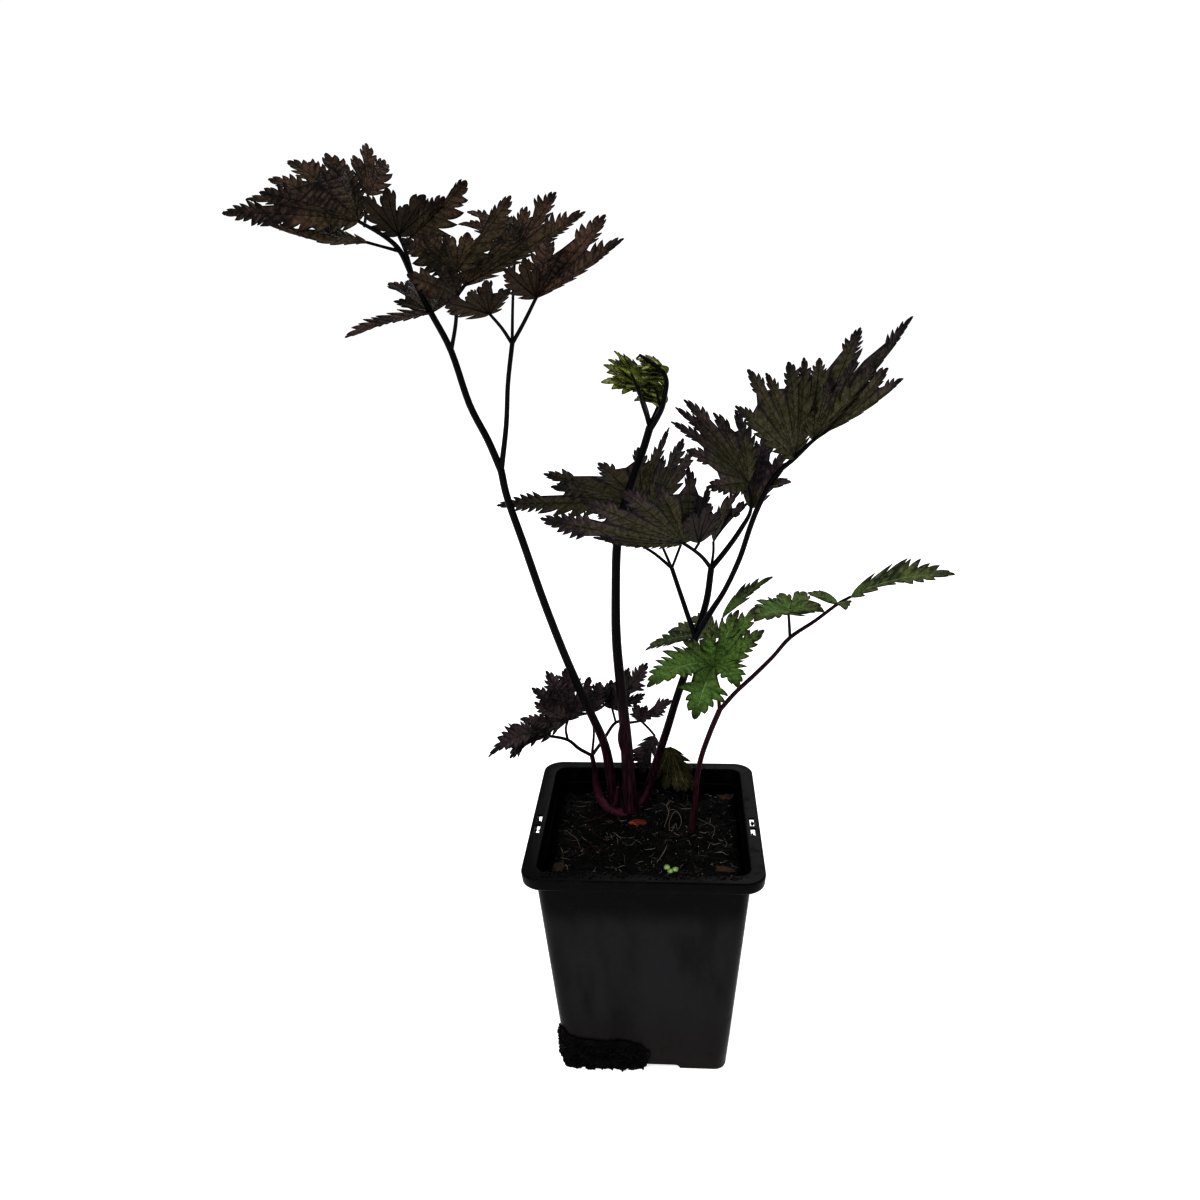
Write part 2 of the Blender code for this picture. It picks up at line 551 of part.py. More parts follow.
def loft(rings):
    """Closed skin over rings of equal counts, with flat ends."""
    count = len(rings[0])
    points = [point for ring in rings for point in ring]
    faces = []
    for level in range(len(rings) - 1):
        low = level * count
        for k in range(count):
            after = (k + 1) % count
            faces.append((low + k, low + after, low + count + after, low + count + k))
    faces.append(tuple(range(count))[::-1])
    faces.append(tuple((len(rings) - 1) * count + k for k in range(count)))
    return points, faces


def body_half(z):
    """Half width of the pot's tapering body at a height."""
    return BODY_BASE_HALF + (BODY_TOP_HALF - BODY_BASE_HALF) * z / POT_HEIGHT


def inner_half(z):
    """Half width of the pot's inside below its stacking step."""
    low = body_half(FLOOR_TOP) - WALL
    high = body_half(STEP_HEIGHT) - WALL - STEP_INSET
    return low + (high - low) * (z - FLOOR_TOP) / (STEP_HEIGHT - FLOOR_TOP)


def add_box(name, size, place, collection, turn=0.0):
    """Box with its scale applied."""
    bpy.ops.mesh.primitive_cube_add(size=1.0)
    item = bpy.context.object
    item.name = name
    item.data.transform(Matrix.Diagonal((*size, 1.0)))
    item.location = place
    item.rotation_euler = (0.0, 0.0, turn)
    for home in list(item.users_collection):
        home.objects.unlink(item)
    collection.objects.link(item)
    return item


def add_cylinder(name, radius, depth, place, collection, sides=8):
    """Upright cylinder."""
    bpy.ops.mesh.primitive_cylinder_add(vertices=sides, radius=radius, depth=depth, location=place)
    item = bpy.context.object
    item.name = name
    for home in list(item.users_collection):
        home.objects.unlink(item)
    collection.objects.link(item)
    return item


def hide_cutters(collection):
    """Keep cutters out of the picture and show them as wires."""
    for item in collection.objects:
        item.hide_render = True
        item.display_type = "WIRE"


def cut(item, collection):
    """Boolean difference of the item and every cutter of a collection."""
    knife = item.modifiers.new("Cuts", "BOOLEAN")
    knife.operation = "DIFFERENCE"
    knife.operand_type = "COLLECTION"
    knife.collection = collection
    knife.solver = "EXACT"


def add_pot(parts, material):
    """Square pot: tapered body, ledge with a turned-down skirt, feet, drain holes and ledge slots."""
    skirt_foot = POT_HEIGHT - SKIRT_HEIGHT
    under_ledge = POT_HEIGHT - WALL
    rings = [
        square_ring(BODY_BASE_HALF - 0.0012, BODY_CORNER, 0.0),
        square_ring(BODY_BASE_HALF, BODY_CORNER, 0.0012),
        square_ring(body_half(skirt_foot), BODY_CORNER, skirt_foot),
        square_ring(body_half(under_ledge), BODY_CORNER, under_ledge),
        square_ring(RIM_HALF - WALL, RIM_CORNER - WALL, under_ledge),
        square_ring(RIM_HALF - WALL - 0.0006, RIM_CORNER - WALL, skirt_foot),
        square_ring(RIM_HALF - 0.0008, RIM_CORNER, skirt_foot),
        square_ring(RIM_HALF, RIM_CORNER, POT_HEIGHT - 0.0008),
        square_ring(RIM_HALF - 0.0007, RIM_CORNER, POT_HEIGHT),
        square_ring(body_half(POT_HEIGHT) - WALL + 0.0006, BODY_CORNER, POT_HEIGHT),
        square_ring(body_half(POT_HEIGHT) - WALL, BODY_CORNER, POT_HEIGHT - 0.0008),
        square_ring(body_half(STEP_HEIGHT) - WALL, BODY_CORNER, STEP_HEIGHT + 0.0006),
        square_ring(inner_half(STEP_HEIGHT), BODY_CORNER, STEP_HEIGHT),
        square_ring(inner_half(FLOOR_TOP), BODY_CORNER - WALL, FLOOR_TOP),
    ]
    points, faces = loft(rings)
    pot = add_mesh("pot", points, faces, parts, material)
    cutters = make_collection("pot_cutters")
    recess = 2 * (BODY_BASE_HALF - 0.0045)
    add_box("underside_recess", (recess, recess, 2 * UNDERSIDE_RECESS), (0.0, 0.0, 0.0), cutters)
    for quarter in range(4):
        angle = quarter * math.pi / 2
        x = math.cos(angle)
        y = math.sin(angle)
        reach = BODY_BASE_HALF - 0.001
        arch = add_box("foot_arch_%d" % quarter, (0.012, 0.034, 2 * FOOT_ARCH),
                       (reach * x, reach * y, 0.0), cutters, angle)
        taper = arch.modifiers.new("Ends", "BEVEL")
        taper.width = 0.0024
        taper.segments = 1
        taper.affect = "EDGES"
        diagonal = angle + math.pi / 4
        for label, spot, turn in (("side", 0.021, angle), ("corner", 0.036, diagonal)):
            place = (spot * math.cos(turn), spot * math.sin(turn), FLOOR_TOP / 2)
            add_cylinder("drain_%s_%d" % (label, quarter), DRAIN_RADIUS, 0.02, place, cutters)
    for side in (-1, 1):
        for k, y in enumerate((-0.0125, -0.0035)):
            place = (side * 0.0517, y, POT_HEIGHT)
            add_box("ledge_slot_%d_%d" % (side + 1, k), (0.0026, 0.0075, 0.006), place, cutters)
    hide_cutters(cutters)
    cut(pot, cutters)
    bpy.context.view_layer.update()
    shaped = evaluated_copy(pot, "pot", parts)
    pads = make_collection("pot_pads")
    pads.objects.link(shaped)
    parts.objects.unlink(shaped)
    pad_height = FLOOR_TOP - 0.0005
    add_cylinder("centre_pad", 0.009, pad_height, (0.0, 0.0, pad_height / 2), pads, 10)
    for item in list(cutters.objects):
        bpy.data.objects.remove(item, do_unlink=True)
    bpy.data.collections.remove(cutters)
    return fuse("pot", pads, parts, material)


def soil_height(x, y):
    """Uneven top of the compost."""
    wave = 0.0011 * math.sin(95 * x + 1.3) * math.cos(110 * y + 0.4)
    wave += 0.0008 * math.sin(240 * x + 170 * y) + 0.0006 * math.cos(310 * y - 120 * x + 2.0)
    mound = 0.0035 * math.exp(-((x + 0.006) ** 2 + (y - 0.024) ** 2) / 0.0005)
    return SOIL_LEVEL + wave + mound


def add_soil(parts, material, routes, chips):
    """Compost that fills the pot, with a hole for everything that stands in it."""
    base_z = FLOOR_TOP + SOIL_SIDE_GAP
    high_z = SOIL_LEVEL - 0.0035
    low = square_ring(inner_half(base_z) - SOIL_SIDE_GAP, BODY_CORNER - WALL, base_z)
    high = square_ring(inner_half(high_z) - SOIL_SIDE_GAP, BODY_CORNER, high_z)
    points, faces = loft([low, high])
    faces.pop()
    count = len(low)
    cells = SOIL_CELLS
    half = inner_half(high_z) - SOIL_SIDE_GAP
    grid = {}
    for row in range(1, cells):
        for column in range(1, cells):
            x = half * (2 * column / cells - 1)
            y = half * (2 * row / cells - 1)
            grid[row, column] = len(points)
            points.append((x, y, soil_height(x, y)))
    for row in range(1, cells - 1):
        for column in range(1, cells - 1):
            faces.append((grid[row, column], grid[row, column + 1],
                          grid[row + 1, column + 1], grid[row + 1, column]))
    inner = [grid[k, cells - 1] for k in range(1, cells)]
    inner += [grid[cells - 1, k] for k in range(cells - 2, 0, -1)]
    inner += [grid[k, 1] for k in range(cells - 2, 0, -1)]
    inner += [grid[1, k] for k in range(2, cells - 1)]
    outer = [count + k for k in range(count)]

    def angle_of(index):
        return math.atan2(points[index][1], points[index][0])

    inner.sort(key=angle_of)
    outer.sort(key=angle_of)
    a = 0
    b = 0
    while a < len(outer) or b < len(inner):
        next_a = angle_of(outer[(a + 1) % len(outer)]) + (2 * math.pi if a + 1 >= len(outer) else 0)
        next_b = angle_of(inner[(b + 1) % len(inner)]) + (2 * math.pi if b + 1 >= len(inner) else 0)
        take_outer = b >= len(inner) or (a < len(outer) and next_a <= next_b)
        if take_outer:
            faces.append((outer[a % len(outer)], outer[(a + 1) % len(outer)], inner[b % len(inner)]))
            a += 1
        else:
            faces.append((outer[a % len(outer)], inner[(b + 1) % len(inner)], inner[b % len(inner)]))
            b += 1
    block = add_mesh("soil", points, faces, parts, material)
    cutters = make_collection("soil_cutters")
    for name, route in routes.items():
        add_stalk(name, route, cutters, extra=HOLE_CLEARANCE)
    for name, chip in chips.items():
        pocket = bark_chip_box(name + "_pocket", chip, 0.8, 0.3, cutters)
        for vertex in pocket.data.vertices:
            if vertex.co.z > 0:
                vertex.co.z += 0.004
    hide_cutters(cutters)
    cut(block, cutters)
    bpy.context.view_layer.update()
    soil = evaluated_copy(block, "soil", parts)
    for item in list(cutters.objects):
        bpy.data.objects.remove(item, do_unlink=True)
    bpy.data.collections.remove(cutters)
    return soil


def rooted(route, depth=12.0):
    """Stalk route carried down into the compost, slightly narrower at its foot."""
    start = np.array(route[0][:3], float)
    away = unit(start - np.array(route[1][:3], float))
    foot = start + away * depth
    return [(*foot, route[0][3] * 0.85)] + list(route)


def hole_route(route):
    """Route of the hole for a rooted stalk: a little deeper, and out past the compost's top."""
    foot = np.array(route[0][:3], float)
    away = unit(foot - np.array(route[1][:3], float))
    below = foot + away * 0.6
    return [(*below, route[0][3])] + list(route[1:3])


def add_bud(parts, material, route):
    """Pointed resting bud, half sunk in the compost."""
    bud = add_stalk("bud", route, parts, resolution=2)
    bud.data.materials.clear()
    bud.data.materials.append(material)
    return bud


def add_seedling(parts, material, route, crown):
    """Thread-like stem with four small round leaves."""
    pieces = make_collection("seedling_pieces")
    add_stalk("seedling_stem", route, pieces, resolution=0)
    top = np.array(route[-1][:3], float)
    for index, (bearing, reach, radius, lift) in enumerate(crown):
        angle = math.radians(bearing)
        place = top + np.array((math.cos(angle) * reach, math.sin(angle) * reach, lift))
        twig = [(*(top - (0.0, 0.0, 0.6)), 0.45), (*place, 0.4)]
        add_stalk("seedling_twig_%d" % index, twig, pieces, resolution=0)
        disc = add_cylinder("seedling_leaf_%d" % index, radius * MM, 0.0007, (0.0, 0.0, 0.0), pieces, 7)
        tilt = Matrix.Rotation(angle, 4, "Z") @ Matrix.Rotation(math.radians(-18), 4, "Y")
        disc.data.transform(Matrix.Translation(Vector(place) * MM) @ tilt)
    return fuse("seedling", pieces, parts, material)


def bark_chip_box(name, chip, grow, rise, collection):
    """Chip of bark, or the pocket that it lies in."""
    x, y, length, width, thickness, turn = chip
    lift = soil_height(x * MM, y * MM) / MM + rise
    size = ((length + grow) * MM, (width + grow) * MM, (thickness + grow) * MM)
    box = add_box(name, size, (x * MM, y * MM, lift * MM), collection, math.radians(turn))
    return box


def add_bark_chip(name, chip, parts, material):
    """Flat splinter of bark, wider at one end and thinner at its edges."""
    box = bark_chip_box(name, chip, 0.0, 0.3, parts)
    for vertex in box.data.vertices:
        if vertex.co.x > 0:
            vertex.co.y *= 0.62
            vertex.co.z *= 0.8
        elif vertex.co.y > 0:
            vertex.co.x *= 0.75
    edge = box.modifiers.new("Worn edges", "BEVEL")
    edge.width = 0.0004
    edge.segments = 2
    bpy.context.view_layer.update()
    solid = evaluated_copy(box, name, parts)
    solid.data.materials.clear()
    solid.data.materials.append(material)
    return solid


def corner_path(s, z, outward):
    """Point on the pot's lower front left corner: s runs from its left side to its front."""
    half = body_half(z) + outward
    corner = BODY_CORNER + outward
    straight = half - corner
    arc = BODY_CORNER * math.pi / 4
    if s > arc:
        return (-straight + (s - arc), -half, z)
    if s < -arc:
        return (-half, -straight + (-arc - s), z)
    angle = math.pi * 1.25 + s / BODY_CORNER
    return (-straight + corner * math.cos(angle), -straight + corner * math.sin(angle), z)


def add_stuck_compost(parts, material):
    """Damp crust of compost on the pot's lower front left corner."""
    rows = 4
    start = -0.012
    end = 0.043
    arc = BODY_CORNER * math.pi / 4
    stops = [start, (start - arc) / 2, -arc, -arc / 2, 0.0, arc / 2, arc]
    stops += [arc + (end - arc) * k / 8 for k in range(1, 9)]
    columns = len(stops) - 1
    grid = {}
    points = []
    for side in range(2):
        for column in range(columns + 1):
            s = stops[column]
            along = (s - start) / (end - start)
            top = 0.0275 - 0.004 * math.sin(7 * along) + 0.0015 * math.sin(19 * along)
            top -= 0.010 * max(0.0, along - 0.85) / 0.15
            low = 0.0006 + 0.004 * max(0.0, 0.15 - along) / 0.15
            for row in range(rows + 1):
                share = row / rows
                z = low + (top - low) * share
                edge = min(along * 6, (1 - along) * 6, 1.0) * min((1 - share) * 3, 1.0)
                bump = 0.0009 + 0.0014 * edge * (0.75 + 0.25 * math.sin(23 * along + 9 * share))
                outward = 0.0005 + (bump if side else 0.0)
                grid[side, column, row] = len(points)
                points.append(corner_path(s, z, outward))
    faces = []
    for column in range(columns):
        for row in range(rows):
            near = (grid[1, column, row], grid[1, column + 1, row],
                    grid[1, column + 1, row + 1], grid[1, column, row + 1])
            far = (grid[0, column, row + 1], grid[0, column + 1, row + 1],
                   grid[0, column + 1, row], grid[0, column, row])
            for a, b, c, d in (near, far):
                faces.append((a, b, c))
                faces.append((a, c, d))
    border = [(column, 0) for column in range(columns)]
    border += [(columns, row) for row in range(rows)]
    border += [(column, rows) for column in range(columns, 0, -1)]
    border += [(0, row) for row in range(rows, 0, -1)]
    for one, other in zip(border, border[1:] + border[:1]):
        a = grid[(1, *one)]
        b = grid[(1, *other)]
        c = grid[(0, *other)]
        d = grid[(0, *one)]
        faces.append((a, d, c))
        faces.append((a, c, b))
    return add_mesh("stuck_compost", points, faces, parts, material)


def main():
    clear_scene()
    parts = make_collection("potted_bugbane")
    dark = make_material("dark_leaf", DARK_LEAF, 0.55)
    green = make_material("green_leaf", GREEN_LEAF, 0.5)
    young = make_material("young_leaf", YOUNG_LEAF, 0.5)
    wilted = make_material("wilted_leaf", WILTED_LEAF, 0.75)
    red = make_material("bud_scale", BUD_RED, 0.5)
    pale = make_material("seedling_leaf", SEEDLING_GREEN, 0.5)
    black = make_material("black_polypropylene", POT_BLACK, 0.45)
    earth = make_material("compost", COMPOST, 0.95)
    bark = make_material("bark", BARK, 0.85)

    fronds = (
        ("frond_tall", TALL_STALKS, TALL_LEAVES, dark, "petiole", "MANIFOLD"),
        ("frond_opening", OPENING_STALKS, OPENING_LEAVES, young, "petiole", "MANIFOLD"),
        ("frond_right", RIGHT_STALKS, RIGHT_LEAVES, dark, "petiole", "MANIFOLD"),
        ("frond_green", GREEN_STALKS, GREEN_LEAVES, green, "petiole", "MANIFOLD"),
        ("frond_low", LOW_STALKS, LOW_LEAVES, dark, "petiole", "MANIFOLD"),
        ("wilted_leaf", WILTED_STALKS, WILTED_LEAVES, wilted, "stalk", "EXACT"),
    )
    routes = {}
    for name, stalks, leaves, material, main_stalk, solver in fronds:
        shifted = dict(stalks)
        shifted[main_stalk] = rooted(stalks[main_stalk])
        routes[name + "_hole"] = hole_route(shifted[main_stalk])
        rows = [(row[0], row[1] + 1, *row[2:]) if row[0] == main_stalk else row for row in leaves]
        add_frond(name, shifted, rows, parts, material, solver)
    bud_route = [(-4, 10, 99, 2.4), (-4, 10, 103, 4.0), (-4.5, 9.5, 108, 4.2),
                 (-5, 9, 111, 2.8), (-5.5, 8.5, 113, 0.7)]
    routes["bud_hole"] = [(x, y, z - 0.5, radius + 0.6) for x, y, z, radius in bud_route[:4]]
    add_bud(parts, red, bud_route)
    seedling_route = [(13, -34, 97, 0.6), (13, -34, 106, 0.6), (13.5, -34.5, 109, 0.5)]
    routes["seedling_hole"] = [(13, -34, 96.3, 0.6), (13, -34, 106, 0.6), (13.5, -34.5, 110, 0.6)]
    add_seedling(parts, pale, seedling_route, ((140, 2.6, 1.6, 1.6), (10, 2.8, 2.0, 0.8),
                                               (-60, 2.2, 1.7, 0.2), (-120, 3.2, 1.5, -0.4)))
    chips = {
        "bark_chip_back": (41, 41, 9.0, 6.0, 2.4, 25),
        "bark_chip_left": (-40, -27, 8.5, 5.0, 2.0, 70),
        "bark_chip_right": (38, -28, 9.0, 4.5, 2.0, -15),
    }
    for name, chip in chips.items():
        add_bark_chip(name, chip, parts, bark)
    add_pot(parts, black)
    add_soil(parts, earth, routes, chips)
    add_stuck_compost(parts, earth)
    for item in parts.objects:
        shade_smooth(item.data)


main()
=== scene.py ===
"""Potted bugbane: the dressed model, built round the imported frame.

The frame's axes are +Z up and -Y toward the viewer, with the origin at the middle of the pot's base. The pot
is given in metres, and the tables of leaves, roots, bud, chips and crust in millimetres.
"""

import math
import random
from collections import namedtuple

import bmesh
import bpy
import numpy as np
from bpy.props import FloatProperty, FloatVectorProperty, IntProperty, PointerProperty
from mathutils import Matrix, Vector, noise


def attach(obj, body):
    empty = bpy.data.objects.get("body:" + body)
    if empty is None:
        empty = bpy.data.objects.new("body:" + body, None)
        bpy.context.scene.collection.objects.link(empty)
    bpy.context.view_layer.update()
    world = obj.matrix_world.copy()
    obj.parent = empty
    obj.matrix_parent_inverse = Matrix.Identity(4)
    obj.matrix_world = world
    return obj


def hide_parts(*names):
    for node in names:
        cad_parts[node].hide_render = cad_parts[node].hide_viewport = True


bl_info = {
    "name": "Potted bugbane",
    "version": (1, 0, 0),
    "blender": (4, 5, 0),
    "location": "3D View > Sidebar > Bugbane",
    "description": "Dark-leaved bugbane in a square nursery pot",
    "category": "Add Mesh",
}

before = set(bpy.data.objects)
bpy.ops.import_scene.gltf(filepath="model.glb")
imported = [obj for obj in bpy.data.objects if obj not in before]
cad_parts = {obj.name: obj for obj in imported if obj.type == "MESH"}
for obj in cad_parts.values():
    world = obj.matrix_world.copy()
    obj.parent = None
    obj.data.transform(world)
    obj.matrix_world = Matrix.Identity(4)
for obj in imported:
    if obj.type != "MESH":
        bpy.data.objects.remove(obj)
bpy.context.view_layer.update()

MM = 0.001

# Refractive index of plant tissue full of sap
WATERY_IOR = 1.42

# Pot, in metres, as in the frame
POT_HEIGHT = 0.118
RIM_HALF = 0.055
RIM_CORNER = 0.0095
SKIRT_HEIGHT = 0.0057
WALL = 0.0012
BODY_TOP_HALF = 0.0493
BODY_BASE_HALF = 0.0394
BODY_CORNER = 0.0055
STEP_HEIGHT = 0.1095
STEP_INSET = 0.0006
FLOOR_TOP = 0.0042
UNDERSIDE_RECESS = 0.0024
FOOT_ROUND = 0.0012
FOOT_ARCH = 0.0027
RECESS_BORDER = 0.0045
PAD_RADIUS = 0.009
DRAIN_RADIUS = 0.0035
DRAIN_REACHES = (0.021, 0.036)
SLOT_REACH = 0.0517
SLOT_PLACES = (-0.0125, -0.0035)

# Compost, in metres
SOIL_LEVEL = 0.106
SOIL_SIDE_GAP = 0.0004
# How far its top sinks at the pot's wall
SOIL_EDGE_DIP = 0.0035

# Leaf form: how the lobes fold, part and are toothed
FOLD = 0.3
# Grooves round a stalk
FLUTES = 5.0
# Side to which a leaflet's upper face looks
FACE = np.array((0.0, -0.35, 1.0))
# Half width that a lobe may have beside its neighbour, as a share of half their distance
ROOM = 2.1
# One tooth of a lobe's edge, notch to tip: share of the tooth's length, share of the lobe's half width
TOOTH = ((0.0, 0.52), (0.2, 0.67), (0.42, 0.80), (0.68, 0.93), (1.0, 1.08), (1.42, 1.24))
# Shares of the way from a lobe's midrib to its edge
ACROSS = (0.0, 0.1, 0.32, 0.58, 0.82, 1.0)
# Values of each point of a sheet that the leaf materials read: ways along and across, vein, rib, tone, back
VALUE_NAMES = ("along", "edge", "vein", "rib", "tone", "back")

# Camera of the photograph, fitted to the pot's corners: place in millimetres, yaw to the right of +Y, pitch
# down and roll in degrees, lens and sensor in millimetres, and the side of the square picture in pixels
CAMERA_PLACE = np.array((14.53, -453.18, 393.56))
CAMERA_YAW = -4.308
CAMERA_PITCH = 19.738
CAMERA_ROLL = -1.416
CAMERA_LENS = 31.85
SENSOR_WIDTH = 36.0
PICTURE_SIDE = 1200
# What the lights look at, in metres
PLANT_MIDDLE = (0.0, 0.0, 0.2)

# Stalks and leaflets were read off the photograph, and each point got a depth by judgement. A stalk is
# a route of (picture x, picture y, depth, radius): x to the right and y down in pixels, depth along +Y in
# millimetres. A leaflet's row is the numbered point of the stalk that it starts at, its arch, and its lobes
# from its lower left edge round to its right one, each as its tip's (picture x, picture y, depth, width).
# A lobe that the picture doesn't show clearly, or that was turned by hand against the render, is an Aim.
# Where a row goes on, it gives the share of its length over which its lobes are joined, and the trim of its
# two outer edges.
Aim = namedtuple("Aim", "bearing rise length width")
JOINED_AND_TRIM = (0.5, (1.0, 1.0))
# Stalks whose points are kept to a tenth of a millimetre; all others are read to a whole one
FINE_STALKS = ("hook", "prong", "tie")
TALL_STALKS = {
    "petiole": [(618, 808, 26, 3.4), (611, 778, 26, 2.8), (604, 745, 25, 2.3), (590, 710, 23, 2.1),
        (567, 660, 19, 2), (545, 603, 14, 1.9), (523, 543, 11, 1.8), (508, 499, 9, 1.7),
        (502, 470, 8, 1.7)],
    "rachis": [(502, 470, 8, 1.7), (487, 440, 7, 1.6), (469, 403, 6, 1.5), (451, 350, 4, 1.4),
        (430, 313, 2, 1.3), (414, 280, 0, 1.2)],
    "terminal": [(414, 280, 0, 1.2), (400, 252, -2, 1.1), (383, 235, -6, 0.9), (357, 221, -10, 0.7)],
    "low_left": [(400, 252, -2, 0.8), (383, 246, -9, 0.6), (366, 242, -15, 0.6)],
    "upright": [(364, 226, -9, 0.6), (367, 210, 0, 0.6), (368, 194, 8, 0.6)],
    "mid_left": [(414, 280, 0, 1), (406, 252, 3, 0.8), (400, 235, 2, 0.7)],
    "mid_right": [(406, 252, 3, 0.8), (411, 238, 9, 0.6)],
    "centre": [(451, 350, 4, 0.9), (455, 322, -2, 0.8), (457.5, 296, -6, 0.7), (456, 270, -3, 0.6)],
    "centre_right": [(457.5, 296, -6, 0.7), (464, 287, -3, 0.6)],
    "side": [(502, 470, 8, 1.3), (506, 425, 4, 1.1), (509, 385, 2, 1), (513, 345, 0, 1)],
    "side_left": [(513, 345, 0, 0.8), (502, 329, -6, 0.7), (491, 315, -10, 0.6)],
    "side_mid": [(513, 345, 0, 0.7), (513.5, 300, 8, 0.6), (514, 253, 14, 0.6)],
    "side_right": [(513, 345, 0, 0.9), (525, 322, -4, 0.8), (536, 298, -8, 0.7)],
}
TALL_LEAVES = [
    ("terminal", 3, 0.05, [(221, 213, -45, 13), (258, 191, -34, 13), (325, 153, -8, 16),
        (343, 161, 4, 9)], 0.6),
    ("terminal", 3, 0.08, [(246, 200, -22, 9), (268, 180, -16, 12), (287, 161, -4, 15), (308, 162, 4, 12)]),
    ("upright", 2, 0.03, [(353, 155, 14, 9), (366, 143, 20, 10), (385, 159, 26, 10)]),
    ("low_left", 2, -0.06, [(262, 223, -45, 13), (298, 219, -24, 10)]),
    ("mid_left", 2, 0.02, [(362, 196, -16, 10), (386, 188, -6, 14), (408, 203, 2, 10), (425, 196, 8, 13),
        (436, 203, 14, 10)]),
    ("mid_right", 1, 0.02, [(445, 196, 18, 12), (466, 181, 24, 16)]),
    ("centre", 2, 0.05, [(406, 275, -32, 13), (433, 262, -18, 10), (450, 268, -8, 8)]),
    ("centre", 3, 0.02, [(402, 239, -22, 12), (422, 233, -16, 15), (444, 234, -10, 12), (468, 232, -4, 12),
        (511, 194, 2, 13)]),
    ("centre_right", 1, -0.03, [(477, 253, 4, 9), (518, 228, 14, 13),
        (587, 211, 26, 16)], 0.55, (1.0, 0.4)),
    ("side_mid", 2, -0.02, [(527, 206, 32, 9), (556, 193, 42, 14)], 0.5, (1.0, 0.5)),
    ("side_mid", 2, 0.12, [(459, 224, 30, 8), (467, 211, 36, 8), (497, 215, 38, 9)]),
    ("side_right", 2, 0.04, [(504.1, 269, -26, 9), (524, 257, -18, 11), (537, 267, -12, 8)]),
    ("side_right", 2, -0.02, [(550, 235, -2, 13), (605, 214, 8, 15), (624, 239, -14, 13)], 0.5, (1.0, 0.4)),
    ("side_left", 2, 0.05, [(444, 303, -34, 10), (468, 292, -28, 9), (486, 281, -18, 12),
        (510, 290, -10, 11)]),
    ("rachis", 4, 0.03, [(344, 338, -28, 10)]),
    ("rachis", 4, 0.04, [(393, 301, 12, 9), (389, 283, 22, 12), (409, 280, 30, 10), (448, 290, 24, 10)]),
]
OPENING_STALKS = {
    "petiole": [(630, 808, 20, 3.8), (627.5, 770, 21, 3.3), (626, 735, 22, 2.9), (621, 690, 24, 2.5),
        (617, 640, 27, 2.3), (616, 590, 29, 2.1), (618, 545, 30, 2.1), (624, 510, 31, 2),
        (633, 478, 31, 1.9), (643, 449, 30, 1.8), (651, 428, 28, 1.8)],
    "crook": [(651, 428, 28, 1.4), (659, 407, 27, 1.2), (666, 389, 25, 1.1), (666, 376, 22, 1),
        (659, 367, 18, 0.8), (650, 361, 15, 0.7), (640, 356, 13, 0.6)],
    "hook": [(650, 429.3, 28, 1.5), (656.4, 418.9, 24, 1.4), (661.8, 408, 18.5, 1.3), (665, 394, 14.5, 1.1),
        (666.6, 382.5, 12, 1), (664, 373.5, 10, 0.9), (656.5, 366.5, 8.5, 0.8), (648, 361, 8, 0.7),
        (641, 356, 9, 0.5), (636, 358.5, 10, 0.3)],
    "prong": [(650, 427.5, 28, 1.2), (647, 416.5, 23, 1.1), (643, 404.7, 15, 1), (639.5, 393, 8, 0.9),
        (636, 384.8, 4.5, 0.7), (633, 378, 3, 0.5), (630.5, 373, 3, 0.3)],
    "tie": [(661.5, 409, 19, 0.8), (658.6, 402, 17, 0.7), (657.2, 394, 14, 0.6), (655, 388, 12, 0.4)],
    "side": [(651, 428, 28, 1.2), (645, 408, 23, 1), (638, 390, 18, 0.8)],
    "sheath": [(627, 757, 21, 1.6), (621, 738, 20, 2), (624, 720, 21, 1.2)],
}
